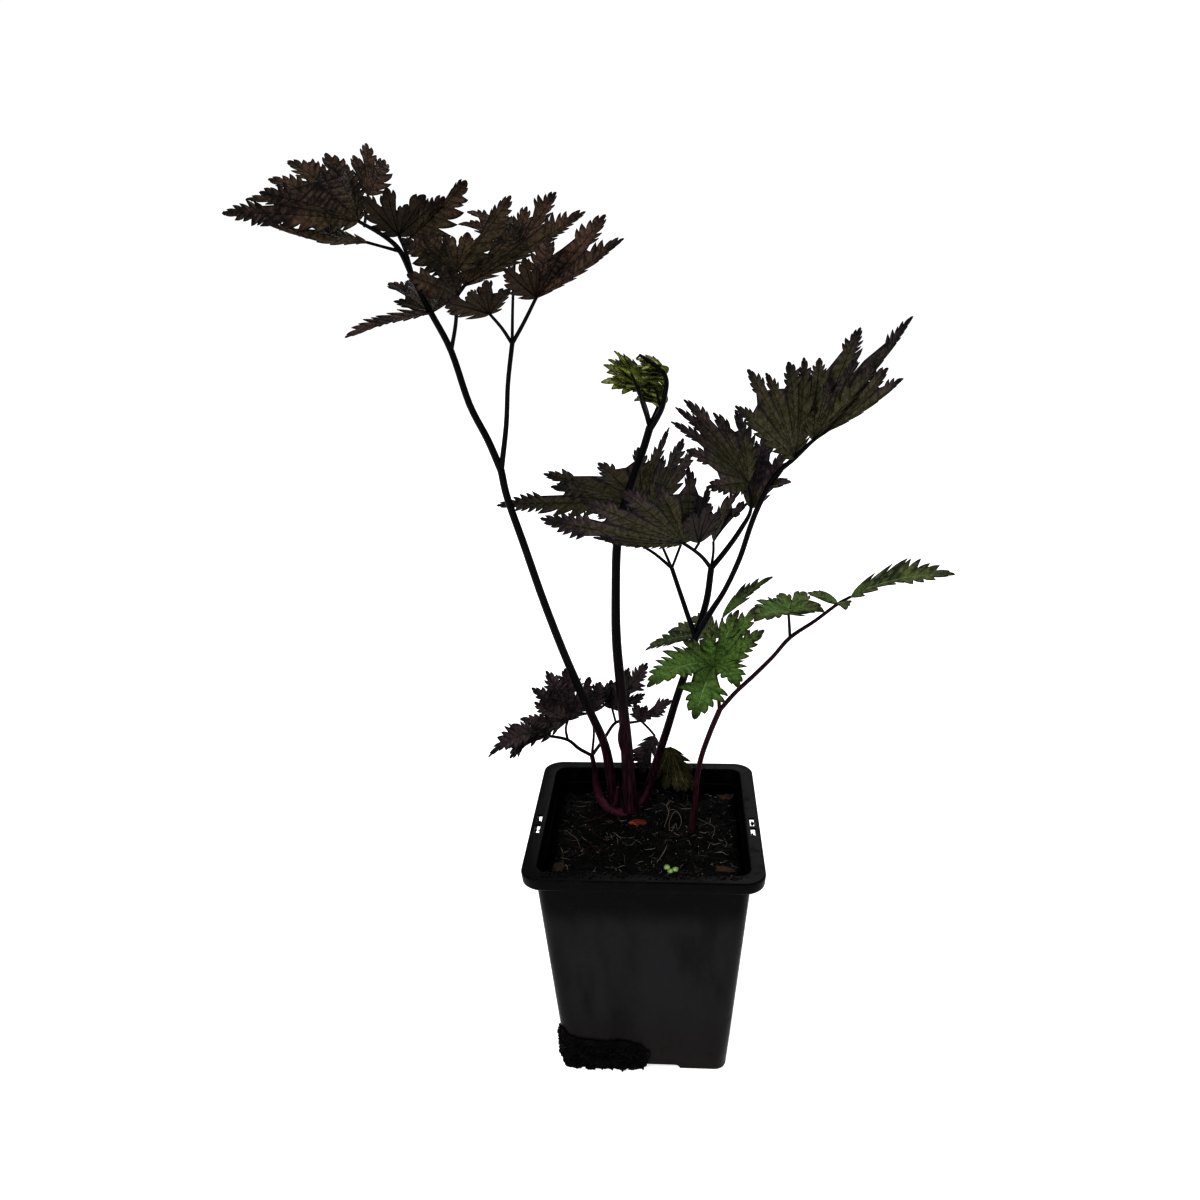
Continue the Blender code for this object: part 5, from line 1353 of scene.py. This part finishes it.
def wrap(centre_route, angle_span, reach, flare, tongue, rows=14, columns=22):
    """Sheet of a leaf sheath that clasps a stalk's foot, with a slanting tongue at its top."""
    (foot, foot_radius), (head, head_radius) = centre_route
    foot = np.array(foot, float)
    head = np.array(head, float)
    along = unit(head - foot)
    side = unit(np.cross(along, (0.0, 1.0, 0.0)))
    front = np.cross(side, along)
    points, values = [], []
    start, end = angle_span
    for row in range(rows + 1):
        h = row / rows
        for column in range(columns + 1):
            c = column / columns
            angle = math.radians(start + (end - start) * c)
            top = 1.0 - tongue * (2 * abs(c - 0.5)) ** 1.6
            climb = h * top
            radius = (foot_radius + flare * (1 - climb) ** 2) * (1 - climb) + (head_radius + reach) * climb
            ripple = 0.12 * math.sin(angle * 7 + h * 2)
            outward = math.cos(angle) * front + math.sin(angle) * side
            points.append(foot + (head - foot) * climb + (radius + ripple) * outward)
            values.append((h, abs(2 * c - 1), 0.0, 0.0, 0.4))
    return np.array(points), np.array(values), net(rows, columns)


def join_sheets(name, sheets, material, thickness):
    """Thin closed solids from sheets, as one mesh object."""
    return join_solids(name, [thicken(*sheet, thickness) for sheet in sheets], material)


def bud_sheets(scales=7, rows=12, columns=10):
    """Overlapping scales of the resting bud, each turned on by the golden angle."""
    sheets = []
    fine = smooth_route(BUD, 6)
    along = unit(fine[-1][:3] - fine[0][:3])
    side = unit(np.cross(along, (0.0, 1.0, 0.0)))
    up = np.cross(side, along)
    for scale in range(scales):
        start = scale * 137.5
        low = 0.05 + 0.055 * scale
        high = min(1.0, low + 0.62)
        points, values = [], []
        for row in range(rows + 1):
            h = row / rows
            spot = (low + (high - low) * h) * (len(fine) - 1)
            k = min(int(spot), len(fine) - 2)
            middle = fine[k] + (fine[k + 1] - fine[k]) * (spot - k)
            width = 62 * (1 - h ** 2.4) + 3
            for column in range(columns + 1):
                c = 2 * column / columns - 1
                angle = math.radians(start + width * c)
                radius = middle[3] * (1.0 + 0.05 * (1 - c * c)) + 0.18 * (scales - scale) / scales + 0.1
                points.append(middle[:3] + radius * (math.cos(angle) * side + math.sin(angle) * up))
                values.append((h, abs(c), 0.0, 1.0 if c == 0 else 0.0, 0.1 * scale))
        sheets.append((np.array(points), np.array(values), net(rows, columns)))
    return sheets


def round_leaf(place, bearing, radius, tilt):
    """Sheet of a small round seed leaf, slightly cupped, notched at its tip."""
    points, values, quads = [], [], []
    turn = Matrix.Rotation(math.radians(bearing), 3, "Z") @ Matrix.Rotation(math.radians(-tilt), 3, "Y")
    rings, spokes = 6, 28
    for ring in range(rings + 1):
        r = ring / rings
        for spoke in range(spokes):
            angle = 2 * math.pi * spoke / spokes
            reach = radius * r * (1 - 0.10 * math.exp(-(min(angle, 2 * math.pi - angle) / 0.3) ** 2))
            lift = 0.16 * radius * r * r + 0.04 * math.cos(3 * angle) * r
            spot = turn @ Vector((reach * math.cos(angle), reach * math.sin(angle), lift))
            points.append(np.array(place, float) + np.array(spot))
            values.append((r, r, 0.0, 1.0 if spoke in (0, spokes // 2) else 0.0, 0.5))
    for ring in range(rings):
        for spoke in range(spokes):
            after = (spoke + 1) % spokes
            quads.append((ring * spokes + spoke, (ring + 1) * spokes + spoke,
                          (ring + 1) * spokes + after, ring * spokes + after))
    return np.array(points), np.array(values), quads


def chip_mesh(name, chip, chance):
    """Worn chip of layered bark."""
    x, y, length, width, thickness, turn = chip
    shape = bmesh.new()
    bmesh.ops.create_cube(shape, size=1.0)
    bmesh.ops.subdivide_edges(shape, edges=shape.edges[:], cuts=9, use_grid_fill=True)
    offset = Vector((chance.uniform(0, 50), chance.uniform(0, 50), 0.0))
    lift = soil_height(x * MM, y * MM) / MM + 0.3
    spin = Matrix.Rotation(math.radians(turn), 3, "Z")
    for vertex in shape.verts:
        u, v, w = vertex.co
        rough = noise.fractal(vertex.co * 3 + offset, 0.8, 2.0, 4)
        ends = 1 - 0.75 * abs(2 * u + 0.15) ** 2.2
        rim = 1 - 0.5 * max(0.0, 2 * max(abs(u), abs(v)) - 0.5) ** 1.5
        layers = 0.09 * math.sin(w * 20 + 4 * rough) + 0.05 * math.sin(u * 60)
        spot = spin @ Vector((u * length * (1 + 0.16 * rough),
                              v * width * max(ends, 0.15) * (1 + 0.3 * rough + layers),
                              w * thickness * rim * (1 + 0.5 * rough) + 0.5 * rough * (w + 0.5)))
        vertex.co = Vector((x + spot.x, y + spot.y, lift + spot.z)) * MM
    return mesh_of(name, shape)


def corner_path(s, z, outward):
    """Point on the pot's lower front left corner: s runs from its left side to its front."""
    half = body_half(z) + outward
    corner = BODY_CORNER + outward
    straight = half - corner
    arc = BODY_CORNER * math.pi / 4
    if s > arc:
        return (-straight + (s - arc), -half, z)
    if s < -arc:
        return (-half, -straight + (-arc - s), z)
    angle = math.pi * 1.25 + s / BODY_CORNER
    return (-straight + corner * math.cos(angle), -straight + corner * math.sin(angle), z)


def crust_sheets():
    """Outer and inner face of the damp compost on the pot's corner, and the bed for its crumbs."""
    columns, rows = 130, 60
    start, end = CRUST_EDGE[0][0], CRUST_EDGE[-1][0]
    ways, tops = zip(*CRUST_EDGE)
    points, faces = [], []
    for side in range(2):
        for column in range(columns + 1):
            along = column / columns
            way = start + (end - start) * along
            ragged = 1.3 * noise.noise(Vector((way * 0.45, 1.0, 0.0)))
            ragged += noise.noise(Vector((way * 1.6, 5.0, 0.0)))
            top = max(float(np.interp(way, ways, tops)) + ragged, 2.0) * MM
            low = (0.4 + 2.5 * max(0.0, 0.12 - along) / 0.12) * MM
            for row in range(rows + 1):
                up = row / rows
                z = low + (top - low) * up
                edge = min(along * 8, (1 - along) * 8, 1.0) * min((1 - up) * 4, 1.0)
                s = way * MM - 0.005 * max(0.0, along - 0.6) * (1 - up) * 2
                s += 0.0012 * noise.noise(Vector((z * 500, 9.0, along))) * max(0.0, along - 0.8) * 5
                spot = Vector((s, z, 0.0))
                grain = noise.fractal(spot * 520, 0.7, 2.1, 4)
                lump = noise.noise(spot * 190)
                bump = 0.0004 + edge * (0.0010 + 0.0010 * lump + 0.0013 * grain)
                points.append(corner_path(s, z, 0.0004 + (max(bump, 0.0002) if side else 0.0)))
    span = rows + 1
    outer = (columns + 1) * span
    for column in range(columns):
        for row in range(rows):
            a = column * span + row
            faces.append((a, a + 1, a + span + 1, a + span))
            b = outer + a
            faces.append((b, b + span, b + span + 1, b + 1))
    border = [(column, 0) for column in range(columns)] + [(columns, row) for row in range(rows)]
    border += [(column, rows) for column in range(columns, 0, -1)] + [(0, row) for row in range(rows, 0, -1)]
    for one, other in zip(border, border[1:] + border[:1]):
        a = one[0] * span + one[1]
        b = other[0] * span + other[1]
        faces.append((a, b, b + outer, a + outer))
    return points, faces, outer


# Stage

def add_floor(colour, glow):
    """Wide floor under the pot."""
    shape = bmesh.new()
    bmesh.ops.create_grid(shape, x_segments=1, y_segments=1, size=6.0)
    floor = add_object("floor", mesh_of("floor", shape))
    # Studio paper lit from behind: matt, and as white as the light round the plant
    material, _, shader = new_material("pale_studio_paper_backlit", 0.9, Emission_Strength=glow)
    shader.inputs["Base Color"].default_value = colour
    shader.inputs["Emission Color"].default_value = colour
    floor.data.materials.append(material)


def add_world(ambient):
    """Lit white backdrop behind a plant that itself gets softer light."""
    world = bpy.data.worlds.new("Studio")
    world.use_nodes = True
    sky = world.node_tree.nodes["Background"]
    sky.inputs["Color"].default_value = (1.0, 1.0, 1.0, 1.0)
    ray = add_node(world.node_tree, "ShaderNodeLightPath").outputs["Is Camera Ray"]
    strength = ranged(world.node_tree, ray, (0.0, 1.0), (ambient, 1.05))
    world.node_tree.links.new(strength, sky.inputs["Strength"])
    bpy.context.scene.world = world


def add_light(name, place, power, size):
    """Square soft light, turned to the middle of the plant."""
    data = bpy.data.lights.new(name, "AREA")
    data.energy = power
    data.size = size
    item = bpy.data.objects.new(name, data)
    item.location = place
    item.rotation_euler = (Vector(PLANT_MIDDLE) - Vector(place)).to_track_quat("-Z", "Y").to_euler()
    bpy.context.scene.collection.objects.link(item)


def add_camera(lens):
    """Camera of the photograph."""
    data = bpy.data.cameras.new("Camera")
    data.sensor_width = SENSOR_WIDTH
    data.lens = lens
    data.clip_start = 0.01
    camera = bpy.data.objects.new("Camera", data)
    right, up, ahead = camera_axes()
    turn = Matrix((right, up, -ahead)).transposed()
    camera.matrix_world = Matrix.Translation(CAMERA_PLACE * MM) @ turn.to_4x4()
    bpy.context.scene.collection.objects.link(camera)
    bpy.context.scene.camera = camera


# Settings

def settings(name):
    """Property group of the scene by its name."""
    return getattr(bpy.context.scene, name)


def tint(name, description, colour):
    """Colour setting with an sRGB hex default."""
    return FloatVectorProperty(name=name, description=description, subtype="COLOR", size=3, min=0.0, max=1.0,
                               default=srgb(colour)[:3])


def full(colour):
    """Colour setting as red, green, blue and alpha."""
    return (*colour, 1.0)


def pair(options, leaf):
    """Deep and flush colour of a leaf's blades."""
    return full(getattr(options, leaf + "_deep")), full(getattr(options, leaf + "_flush"))


class BugbaneLeafSettings(bpy.types.PropertyGroup):
    thickness: FloatProperty(name="Blade thickness", description="Thickness of a leaf blade", default=0.00036,
                             min=0.0001, unit="LENGTH")
    pleat: FloatProperty(name="Pleat", description="Height of the folds between side veins", default=0.0006,
                         min=0.0, unit="LENGTH")
    brown_deep: tint("Brown leaf, deep", "Darkest colour of the tall brown leaf", "#1c120d")
    brown_flush: tint("Brown leaf, flush", "Lighter colour of the tall brown leaf", "#4c382c")
    dark_deep: tint("Dark leaf, deep", "Darkest colour of the purple leaves", "#1e1618")
    dark_flush: tint("Dark leaf, flush", "Lighter colour of the purple leaves", "#46383c")
    green_deep: tint("Green leaf, deep", "Darker colour of the green leaf", "#262a16")
    green_flush: tint("Green leaf, flush", "Lighter colour of the green leaf", "#5a6036")
    young_deep: tint("Opening leaf, deep", "Darker colour of the unfolding leaf", "#929c4a")
    young_flush: tint("Opening leaf, flush", "Lighter colour of the unfolding leaf", "#ccd680")
    withered_deep: tint("Withered leaf, deep", "Darker colour of the withered leaflet", "#24240f")
    withered_flush: tint("Withered leaf, flush", "Lighter colour of the withered leaflet", "#474524")
    bud: tint("Bud", "Colour of the resting bud", "#742018")
    bud_light: tint("Bud, light", "Colour of the bud's younger scales", "#8a4c26")


class BugbanePotSettings(bpy.types.PropertyGroup):
    lip: FloatProperty(name="Lip radius", description="Rounding of the rim's edges", default=0.0007,
                       min=0.0002, unit="LENGTH")
    deep: tint("Plastic, deep", "Darkest colour of the pot", "#030304")
    flush: tint("Plastic, flush", "Lighter colour of the pot", "#1e1e20")


class BugbaneCompostSettings(bpy.types.PropertyGroup):
    cells: IntProperty(name="Net", description="Cells along each side of the compost's top", default=190,
                       min=20)
    crumbs: FloatProperty(name="Crumbs", description="Crumbs per square metre", default=190000.0, min=0.0)
    fibres: FloatProperty(name="Fibres", description="Fibres per square metre", default=70000.0, min=0.0)
    deep: tint("Compost, deep", "Darkest colour of the compost", "#040303")
    flush: tint("Compost, flush", "Lighter colour of the compost", "#0c0a08")


class BugbaneStageSettings(bpy.types.PropertyGroup):
    lens: FloatProperty(name="Lens", description="Focal length of the camera in millimetres",
                        default=CAMERA_LENS, min=10.0)
    floor: tint("Floor", "Colour of the floor", "#f4f4f4")
    floor_glow: FloatProperty(name="Floor glow", description="Light that shines through the floor's paper",
                              default=0.8, min=0.0)
    ambient: FloatProperty(name="Ambient light", description="Light that reaches the plant from all round",
                           default=0.34, min=0.0)


# Operators

# Each leaf's tables, the stalk that is rooted, its seed, a tooth in millimetres, the web between its lobes,
# the curl of its edges, and the share of base tint of some leaflets by their number
Frond = namedtuple("Frond", "stalks leaflets rooted seed tooth web curl fresh")
FRONDS = {
    "frond_tall": Frond(TALL_STALKS, TALL_LEAVES, "petiole", 11, 5.0, 0.3, 0.1, {8: 0.9, 11: 0.8, 13: 0.9}),
    "frond_right": Frond(RIGHT_STALKS, RIGHT_LEAVES, "petiole", 23, 6.0, 0.4, 0.09,
                         {0: 0.85, 5: 0.8, 6: 0.7, 7: 0.75, 10: 1.05, 11: 1.0, 12: 0.8}),
    "frond_low": Frond(LOW_STALKS, LOW_LEAVES, "petiole", 37, 3.2, 0.0, 0.55, {}),
    "frond_green": Frond(GREEN_STALKS, GREEN_LEAVES, "petiole", 41, 5.6, 0.1, 0.12, {0: 1.5, 3: 0.9}),
    "frond_opening": Frond(OPENING_STALKS, TUFT_LEAVES, "petiole", 53, 8.0, 0.0, 0.12, {}),
    "wilted_leaf": Frond(WILTED_STALKS, DROOPING_LEAVES, "stalk", 67, 4.2, 0.5, 0.25, {}),
}


def add_leaf(name, blade, stalk, slot, flute=0.035):
    """One whole leaf as three pieces: its blades, its stalks and its midribs."""
    leaf = FRONDS[name]
    options = settings("bugbane_leaves")
    routes, rows = leaf_in_frame(leaf.stalks, leaf.leaflets)
    solids = blade_solids(leaf, routes, rows, options.thickness / MM, options.pleat / MM)
    finish_piece(join_solids(name + "_blades", solids, blade), slot, name)
    stalks = [rooted(route) if key == leaf.rooted else route for key, route in routes.items()]
    finish_piece(add_tubes(name + "_stalks", stalks, stalk, sides=12, flute=flute), slot, name)
    ribs = rib_routes(routes, rows)
    finish_piece(add_tubes(name + "_midribs", ribs, stalk, sides=6, flute=0.0, steps=1), slot, name)


class BUGBANE_OT_dark_leaves(bpy.types.Operator):
    """Adds the tall, right and low dark leaves"""
    bl_idname = "bugbane.dark_leaves"
    bl_label = "Dark leaves"

    def execute(self, context):
        options = settings("bugbane_leaves")
        stalk = stalk_material("bugbane_stalk_wine_black", "#050304", "#3a1a26", 106.0, 180.0)
        # Bronze brown and purple-black blades, olive at their feet: node, setting of the colours, share of
        # olive, and the tints of the painted highlight on the crests between the veins, of the veins with
        # their painted fold shade, of the ribs and of the backs
        for name, setting, olive, *lines in (
                ("frond_tall", "brown", 0.45, "#6a584c", "#150c08", "#0e0705", "#2e231c"),
                ("frond_right", "dark", 0.95, "#5c5052", "#160e10", "#10080a", "#362c30"),
                ("frond_low", "dark", 0.12, "#564a4e", "#140c0e", "#10080a", "#2a2226")):
            colours = pair(options, setting)
            blade = leaf_material(name + "_blade_dark", *colours, "#3c3c1c", *lines, "#050303", olive)
            add_leaf(name, blade, stalk, "dark_leaf")
        return {"FINISHED"}


class BUGBANE_OT_green_leaf(bpy.types.Operator):
    """Adds the low green leaf"""
    bl_idname = "bugbane.green_leaf"
    bl_label = "Green leaf"

    def execute(self, context):
        options = settings("bugbane_leaves")
        stalk = stalk_material("bugbane_stalk_wine_red", "#1c0c12", "#421c26", 110.0, 240.0)
        # Moss green with pale veins, nearly black at its edges
        blade = leaf_material("bugbane_blade_green", *pair(options, "green"), "#507030", "#74884c", "#1c3014",
                              "#7a9a56", "#4a5a34", "#17110e", 0.95, rim_from=0.8)
        add_leaf("frond_green", blade, stalk, "green_leaf")
        return {"FINISHED"}


class BUGBANE_OT_opening_leaf(bpy.types.Operator):
    """Adds the leaf that is still unfolding"""
    bl_idname = "bugbane.opening_leaf"
    bl_label = "Opening leaf"

    def execute(self, context):
        options = settings("bugbane_leaves")
        stalk = stalk_material("bugbane_stalk_young", "#050304", "#3a1a28", 110.0, 200.0)
        # Yellow green, still soft, with purple-black edges
        blade = leaf_material("bugbane_blade_young", *pair(options, "young"), "#b4bc44", "#d8da88", "#4a4a1a",
                              "#2c2a10", "#98a836", "#0e0909", 0.6, rim_from=0.6)
        add_leaf("frond_opening", blade, stalk, "young_leaf", 0.05)
        return {"FINISHED"}


class BUGBANE_OT_wilted_leaf(bpy.types.Operator):
    """Adds the withered leaflet"""
    bl_idname = "bugbane.wilted_leaf"
    bl_label = "Wilted leaf"

    def execute(self, context):
        options = settings("bugbane_leaves")
        stalk = stalk_material("bugbane_stalk_withered", "#1c140c", "#2a1d10", 100.0, 130.0, 0.7)
        # Dull olive brown with straw-coloured ribs
        blade = leaf_material("bugbane_blade_withered", *pair(options, "withered"), "#3c3c1a", "#46431f",
                              "#14120a", "#948c58", "#3c3a1e", "#1c160c", 0.4, gloss=0.7)
        add_leaf("wilted_leaf", blade, stalk, "wilted_leaf")
        return {"FINISHED"}


class BUGBANE_OT_pot(bpy.types.Operator):
    """Adds the square nursery pot"""
    bl_idname = "bugbane.pot"
    bl_label = "Pot"

    def execute(self, context):
        options = settings("bugbane_pot")
        pot = add_pot(pot_material(full(options.deep), full(options.flush)), options.lip)
        finish_piece(pot, "black_polypropylene", "pot")
        return {"FINISHED"}


class BUGBANE_OT_compost(bpy.types.Operator):
    """Adds the compost with its crumbs, fibres, splinters and grit"""
    bl_idname = "bugbane.compost"
    bl_label = "Compost"

    def execute(self, context):
        options = settings("bugbane_compost")
        # Almost black peat with brown bits
        peat = crumb_material("potting_compost_damp", full(options.deep), full(options.flush), "#2c2620")
        block = smooth_mesh("compost_block", *soil_block(options.cells), peat)
        finish_piece(add_object("compost_block", block), "compost", "soil")
        chance = random.Random(5)
        bits = crumb_bits(6, chance, 0.5)
        spilt = scatter("spilt_crumbs", ledge_bed(), bits, peat, 520000.0, 21, (0.5, 1.7), 0.6, 0.0001)
        finish_piece(spilt, "compost")
        bits = crumb_bits(6, chance, 0.5)
        crumbs = scatter("compost_crumbs", bed_mesh(0.0022), bits, peat, options.crumbs, 3, (0.6, 2.6), 0.6,
                         0.0001)
        finish_piece(crumbs, "compost")
        # Grey threads of peat
        fibre = fibre_material("peat_fibre", "#080706", "#85827c", 0.8, 0.55)
        bits = [fibre_bit(chance.uniform(4, 9), chance.uniform(0.16, 0.34), 0.5, chance) for _ in range(8)]
        fibres = scatter("compost_fibres", bed_mesh(0.0035), bits, fibre, options.fibres, 8, (0.6, 1.25),
                         0.16, -0.0004)
        finish_piece(fibres, "compost")
        # Dark brown splinters
        wood = fibre_material("wood_splinter", "#090706", "#2c2018", 0.75, 0.4)
        bits = [splinter_bit(chance.uniform(2.2, 5), chance.uniform(0.8, 1.6), chance.uniform(0.5, 0.9),
                             chance) for _ in range(6)]
        splinters = scatter("wood_splinters", bed_mesh(0.0035), bits, wood, 16000.0, 12, (0.5, 1.1), 0.4, 0.0)
        finish_piece(splinters, "bark")
        # Greyish white grains
        grit = fibre_material("pale_grit", "#2c2822", "#8f8a7c", 0.6, 0.5)
        bits = crumb_bits(4, chance)
        grains = scatter("pale_grit", bed_mesh(0.003), bits, grit, 16000.0, 17, (0.35, 0.9), 0.6, -0.0002)
        finish_piece(grains, "compost")
        return {"FINISHED"}


class BUGBANE_OT_crown(bpy.types.Operator):
    """Adds the sheaths round the stalks' feet, and the fine roots and threads"""
    bl_idname = "bugbane.crown"
    bl_label = "Crown and roots"

    def execute(self, context):
        # Wine-red leaf sheaths
        sheath = leaf_material("leaf_sheath_wine", srgb("#1c0710"), srgb("#3d1022"), "#481a26", "#4a1c2c",
                               "#1c0810", "#2a0c16", "#220a14", "#12060a", 0.4)
        sheets = [
            wrap((((-15, 26, 104), 4.3), ((-18, 26, 121), 2.9)), (-200, 60), 0.5, 1.4, 0.55),
            wrap((((-8, 20, 104), 4.8), ((-9, 21, 124), 3.4)), (-120, 150), 0.5, 1.4, 0.6),
            wrap((((-3, 30, 104), 3.6), ((2, 28, 119), 2.4)), (-30, 220), 0.5, 1.2, 0.5),
            wrap((((-9, 18, 102), 7.5), ((-8, 19, 112), 6.0)), (-100, 100), 0.4, 1.0, 0.8),
        ]
        finish_piece(join_sheets("crown_sheaths", sheets, sheath, 0.4), "dark_leaf")
        strand = stalk_material("crown_strand_wine", "#34141e", "#4a2030", 104.0, 124.0, 0.45)
        finish_piece(add_tubes("crown_strands", CROWN_STRANDS, strand, sides=12, flute=0.05), "dark_leaf")
        chance = random.Random(9)
        for name, plants, top, foot in (("fine_roots", PALE_ROOTS, "#6a6258", "#4c443c"),
                                        ("red_threads", RED_THREADS, "#36141a", "#280e16")):
            root = stalk_material(name + "_skin", top, foot, 100.0, 115.0, 0.6)
            routes = []
            for route in plants:
                routes.append([(x + chance.uniform(-0.4, 0.4), y + chance.uniform(-0.4, 0.4),
                                soil_height(x * MM, y * MM) / MM + lift,
                                0.62 * radius * chance.uniform(0.8, 1.2)) for x, y, lift, radius in route])
            finish_piece(add_tubes(name, routes, root, sides=6, flute=0.0, steps=6), "dark_leaf")
        return {"FINISHED"}


class BUGBANE_OT_bud(bpy.types.Operator):
    """Adds the red resting bud"""
    bl_idname = "bugbane.bud"
    bl_label = "Bud"

    def execute(self, context):
        options = settings("bugbane_leaves")
        # Brick red scales, browner towards their tips
        scale = leaf_material("bud_scale_red", full(options.bud), full(options.bud_light), "#84401e",
                              "#7a3a20", "#3a0e0a", "#4a120c", "#5a2014", "#2a0a08", 0.5)
        core = [(*point[:3], point[3] * 0.97) for point in BUD]
        finish_piece(add_tubes("bud_core", [core], scale, sides=16, flute=0.02), "bud_scale", "bud")
        finish_piece(join_sheets("bud_scales", bud_sheets(), scale, 0.3), "bud_scale", "bud")
        return {"FINISHED"}


class BUGBANE_OT_seedling(bpy.types.Operator):
    """Adds the small round-leaved seedling"""
    bl_idname = "bugbane.seedling"
    bl_label = "Seedling"

    def execute(self, context):
        # Fresh light green
        green = leaf_material("seedling_leaf_fresh", srgb("#6a8c44"), srgb("#86a458"), "#b4cc8c", "#a8c480",
                              "#8cb060", "#c0d49c", "#7a9c54", "#5c8038", 1.0, 0.42)
        stem = stalk_material("seedling_stem", "#8aa860", "#4a3a2c", 105.0, 110.0)
        top = np.array((12.8, -33.4, 108.6))
        sheets = []
        routes = [((13, -34, 97, 0.4), (13, -34.4, 104, 0.4), (*top, 0.35))]
        for place, bearing, radius in (((10.8, -31.6, 110.2), -100, 1.5), ((14.6, -33.4, 110.3), -70, 1.4),
                                       ((12.3, -35.0, 110.5), -95, 1.3), ((15.4, -31.2, 109.4), -60, 0.8)):
            place = np.array(place)
            sheets.append(round_leaf(place, bearing, radius, -24))
            routes.append(((*(top - (0, 0, 0.6)), 0.3), (*((top + place) / 2), 0.26), (*place, 0.22)))
        leaves = join_sheets("seedling_leaves", sheets, green, 0.35)
        finish_piece(leaves, "seedling_leaf", "seedling")
        stems = add_tubes("seedling_stems", routes, stem, sides=8, flute=0.0)
        finish_piece(stems, "seedling_leaf", "seedling")
        return {"FINISHED"}


class BUGBANE_OT_bark_chips(bpy.types.Operator):
    """Adds the bark chips that lie on the compost"""
    bl_idname = "bugbane.bark_chips"
    bl_label = "Bark chips"

    def execute(self, context):
        # Warm brown bark, streaked dark
        bark = fibre_material("pine_bark_chip", "#1a100a", "#7c5c3c", 0.8)
        chance = random.Random(3)
        for name, chip in CHIPS.items():
            mesh = chip_mesh(name + "_worn", chip, chance)
            layer = mesh.attributes.new("tone", "FLOAT", "POINT")
            layer.data.foreach_set("value", [chance.uniform(0.2, 0.6)] * len(mesh.vertices))
            mesh.materials.append(bark)
            mesh.shade_smooth()
            finish_piece(add_object(name + "_worn", mesh), "bark", name)
        return {"FINISHED"}


class BUGBANE_OT_crust(bpy.types.Operator):
    """Adds the damp compost that sticks to the pot's corner"""
    bl_idname = "bugbane.crust"
    bl_label = "Stuck compost"

    def execute(self, context):
        # Wet peat, blacker than the compost in the pot
        peat = crumb_material("potting_compost_wet", srgb("#020202"), srgb("#090706"), "#221a14", 0.7)
        points, faces, outer = crust_sheets()
        mesh = smooth_mesh("stuck_compost_crust", points, faces, peat)
        shape = bmesh.new()
        shape.from_mesh(mesh)
        bmesh.ops.recalc_face_normals(shape, faces=shape.faces)
        shape.to_mesh(mesh)
        shape.free()
        finish_piece(add_object("stuck_compost_crust", mesh), "compost", "stuck_compost")
        bed_faces = [[index - outer for index in face] for face in faces if min(face) >= outer]
        bed = plain_mesh("crust bed", points[outer:], bed_faces)
        chance = random.Random(6)
        bits = crumb_bits(5, chance)
        crumbs = scatter("stuck_crumbs", bed, bits, peat, 450000.0, 4, (0.3, 1.5), 1.5, 0.0)
        finish_piece(crumbs, "compost")
        return {"FINISHED"}


class BUGBANE_OT_stage(bpy.types.Operator):
    """Adds the floor, the light and the camera"""
    bl_idname = "bugbane.stage"
    bl_label = "Stage"

    def execute(self, context):
        options = settings("bugbane_stage")
        add_floor(full(options.floor), options.floor_glow)
        add_world(options.ambient)
        view = bpy.context.scene.view_settings
        view.view_transform = "Standard"
        view.gamma = 0.82
        add_light("Key light", (-0.9, -1.1, 1.6), 24.0, 0.8)
        add_light("Fill light", (1.3, -0.7, 1.0), 7.0, 1.2)
        add_light("Back light", (0.3, 1.4, 1.5), 12.0, 1.0)
        add_camera(options.lens)
        return {"FINISHED"}


class BUGBANE_PT_panel(bpy.types.Panel):
    """Sizes, colours and pieces of the potted bugbane"""
    bl_idname = "BUGBANE_PT_panel"
    bl_label = "Potted bugbane"
    bl_space_type = "VIEW_3D"
    bl_region_type = "UI"
    bl_category = "Bugbane"

    def draw(self, context):
        for group in SETTINGS:
            box = self.layout.box()
            for name in SETTINGS[group].__annotations__:
                box.prop(getattr(context.scene, group), name)
        for operator in OPERATORS:
            self.layout.operator(operator.bl_idname)


SETTINGS = {
    "bugbane_leaves": BugbaneLeafSettings,
    "bugbane_pot": BugbanePotSettings,
    "bugbane_compost": BugbaneCompostSettings,
    "bugbane_stage": BugbaneStageSettings,
}
OPERATORS = (BUGBANE_OT_pot, BUGBANE_OT_compost, BUGBANE_OT_crown, BUGBANE_OT_bud, BUGBANE_OT_seedling,
             BUGBANE_OT_bark_chips, BUGBANE_OT_crust, BUGBANE_OT_dark_leaves, BUGBANE_OT_green_leaf,
             BUGBANE_OT_opening_leaf, BUGBANE_OT_wilted_leaf, BUGBANE_OT_stage)


def register():
    """Registers the settings, operators and panel."""
    for group, kind in SETTINGS.items():
        bpy.utils.register_class(kind)
        setattr(bpy.types.Scene, group, PointerProperty(type=kind))
    for kind in (*OPERATORS, BUGBANE_PT_panel):
        bpy.utils.register_class(kind)


def unregister():
    """Takes the settings, operators and panel away."""
    for kind in (BUGBANE_PT_panel, *reversed(OPERATORS)):
        bpy.utils.unregister_class(kind)
    for group, kind in SETTINGS.items():
        delattr(bpy.types.Scene, group)
        bpy.utils.unregister_class(kind)


def main():
    """Builds every piece and the stage."""
    register()
    for operator in OPERATORS:
        family, name = operator.bl_idname.split(".")
        getattr(getattr(bpy.ops, family), name)()


if __name__ == "__main__":
    main()
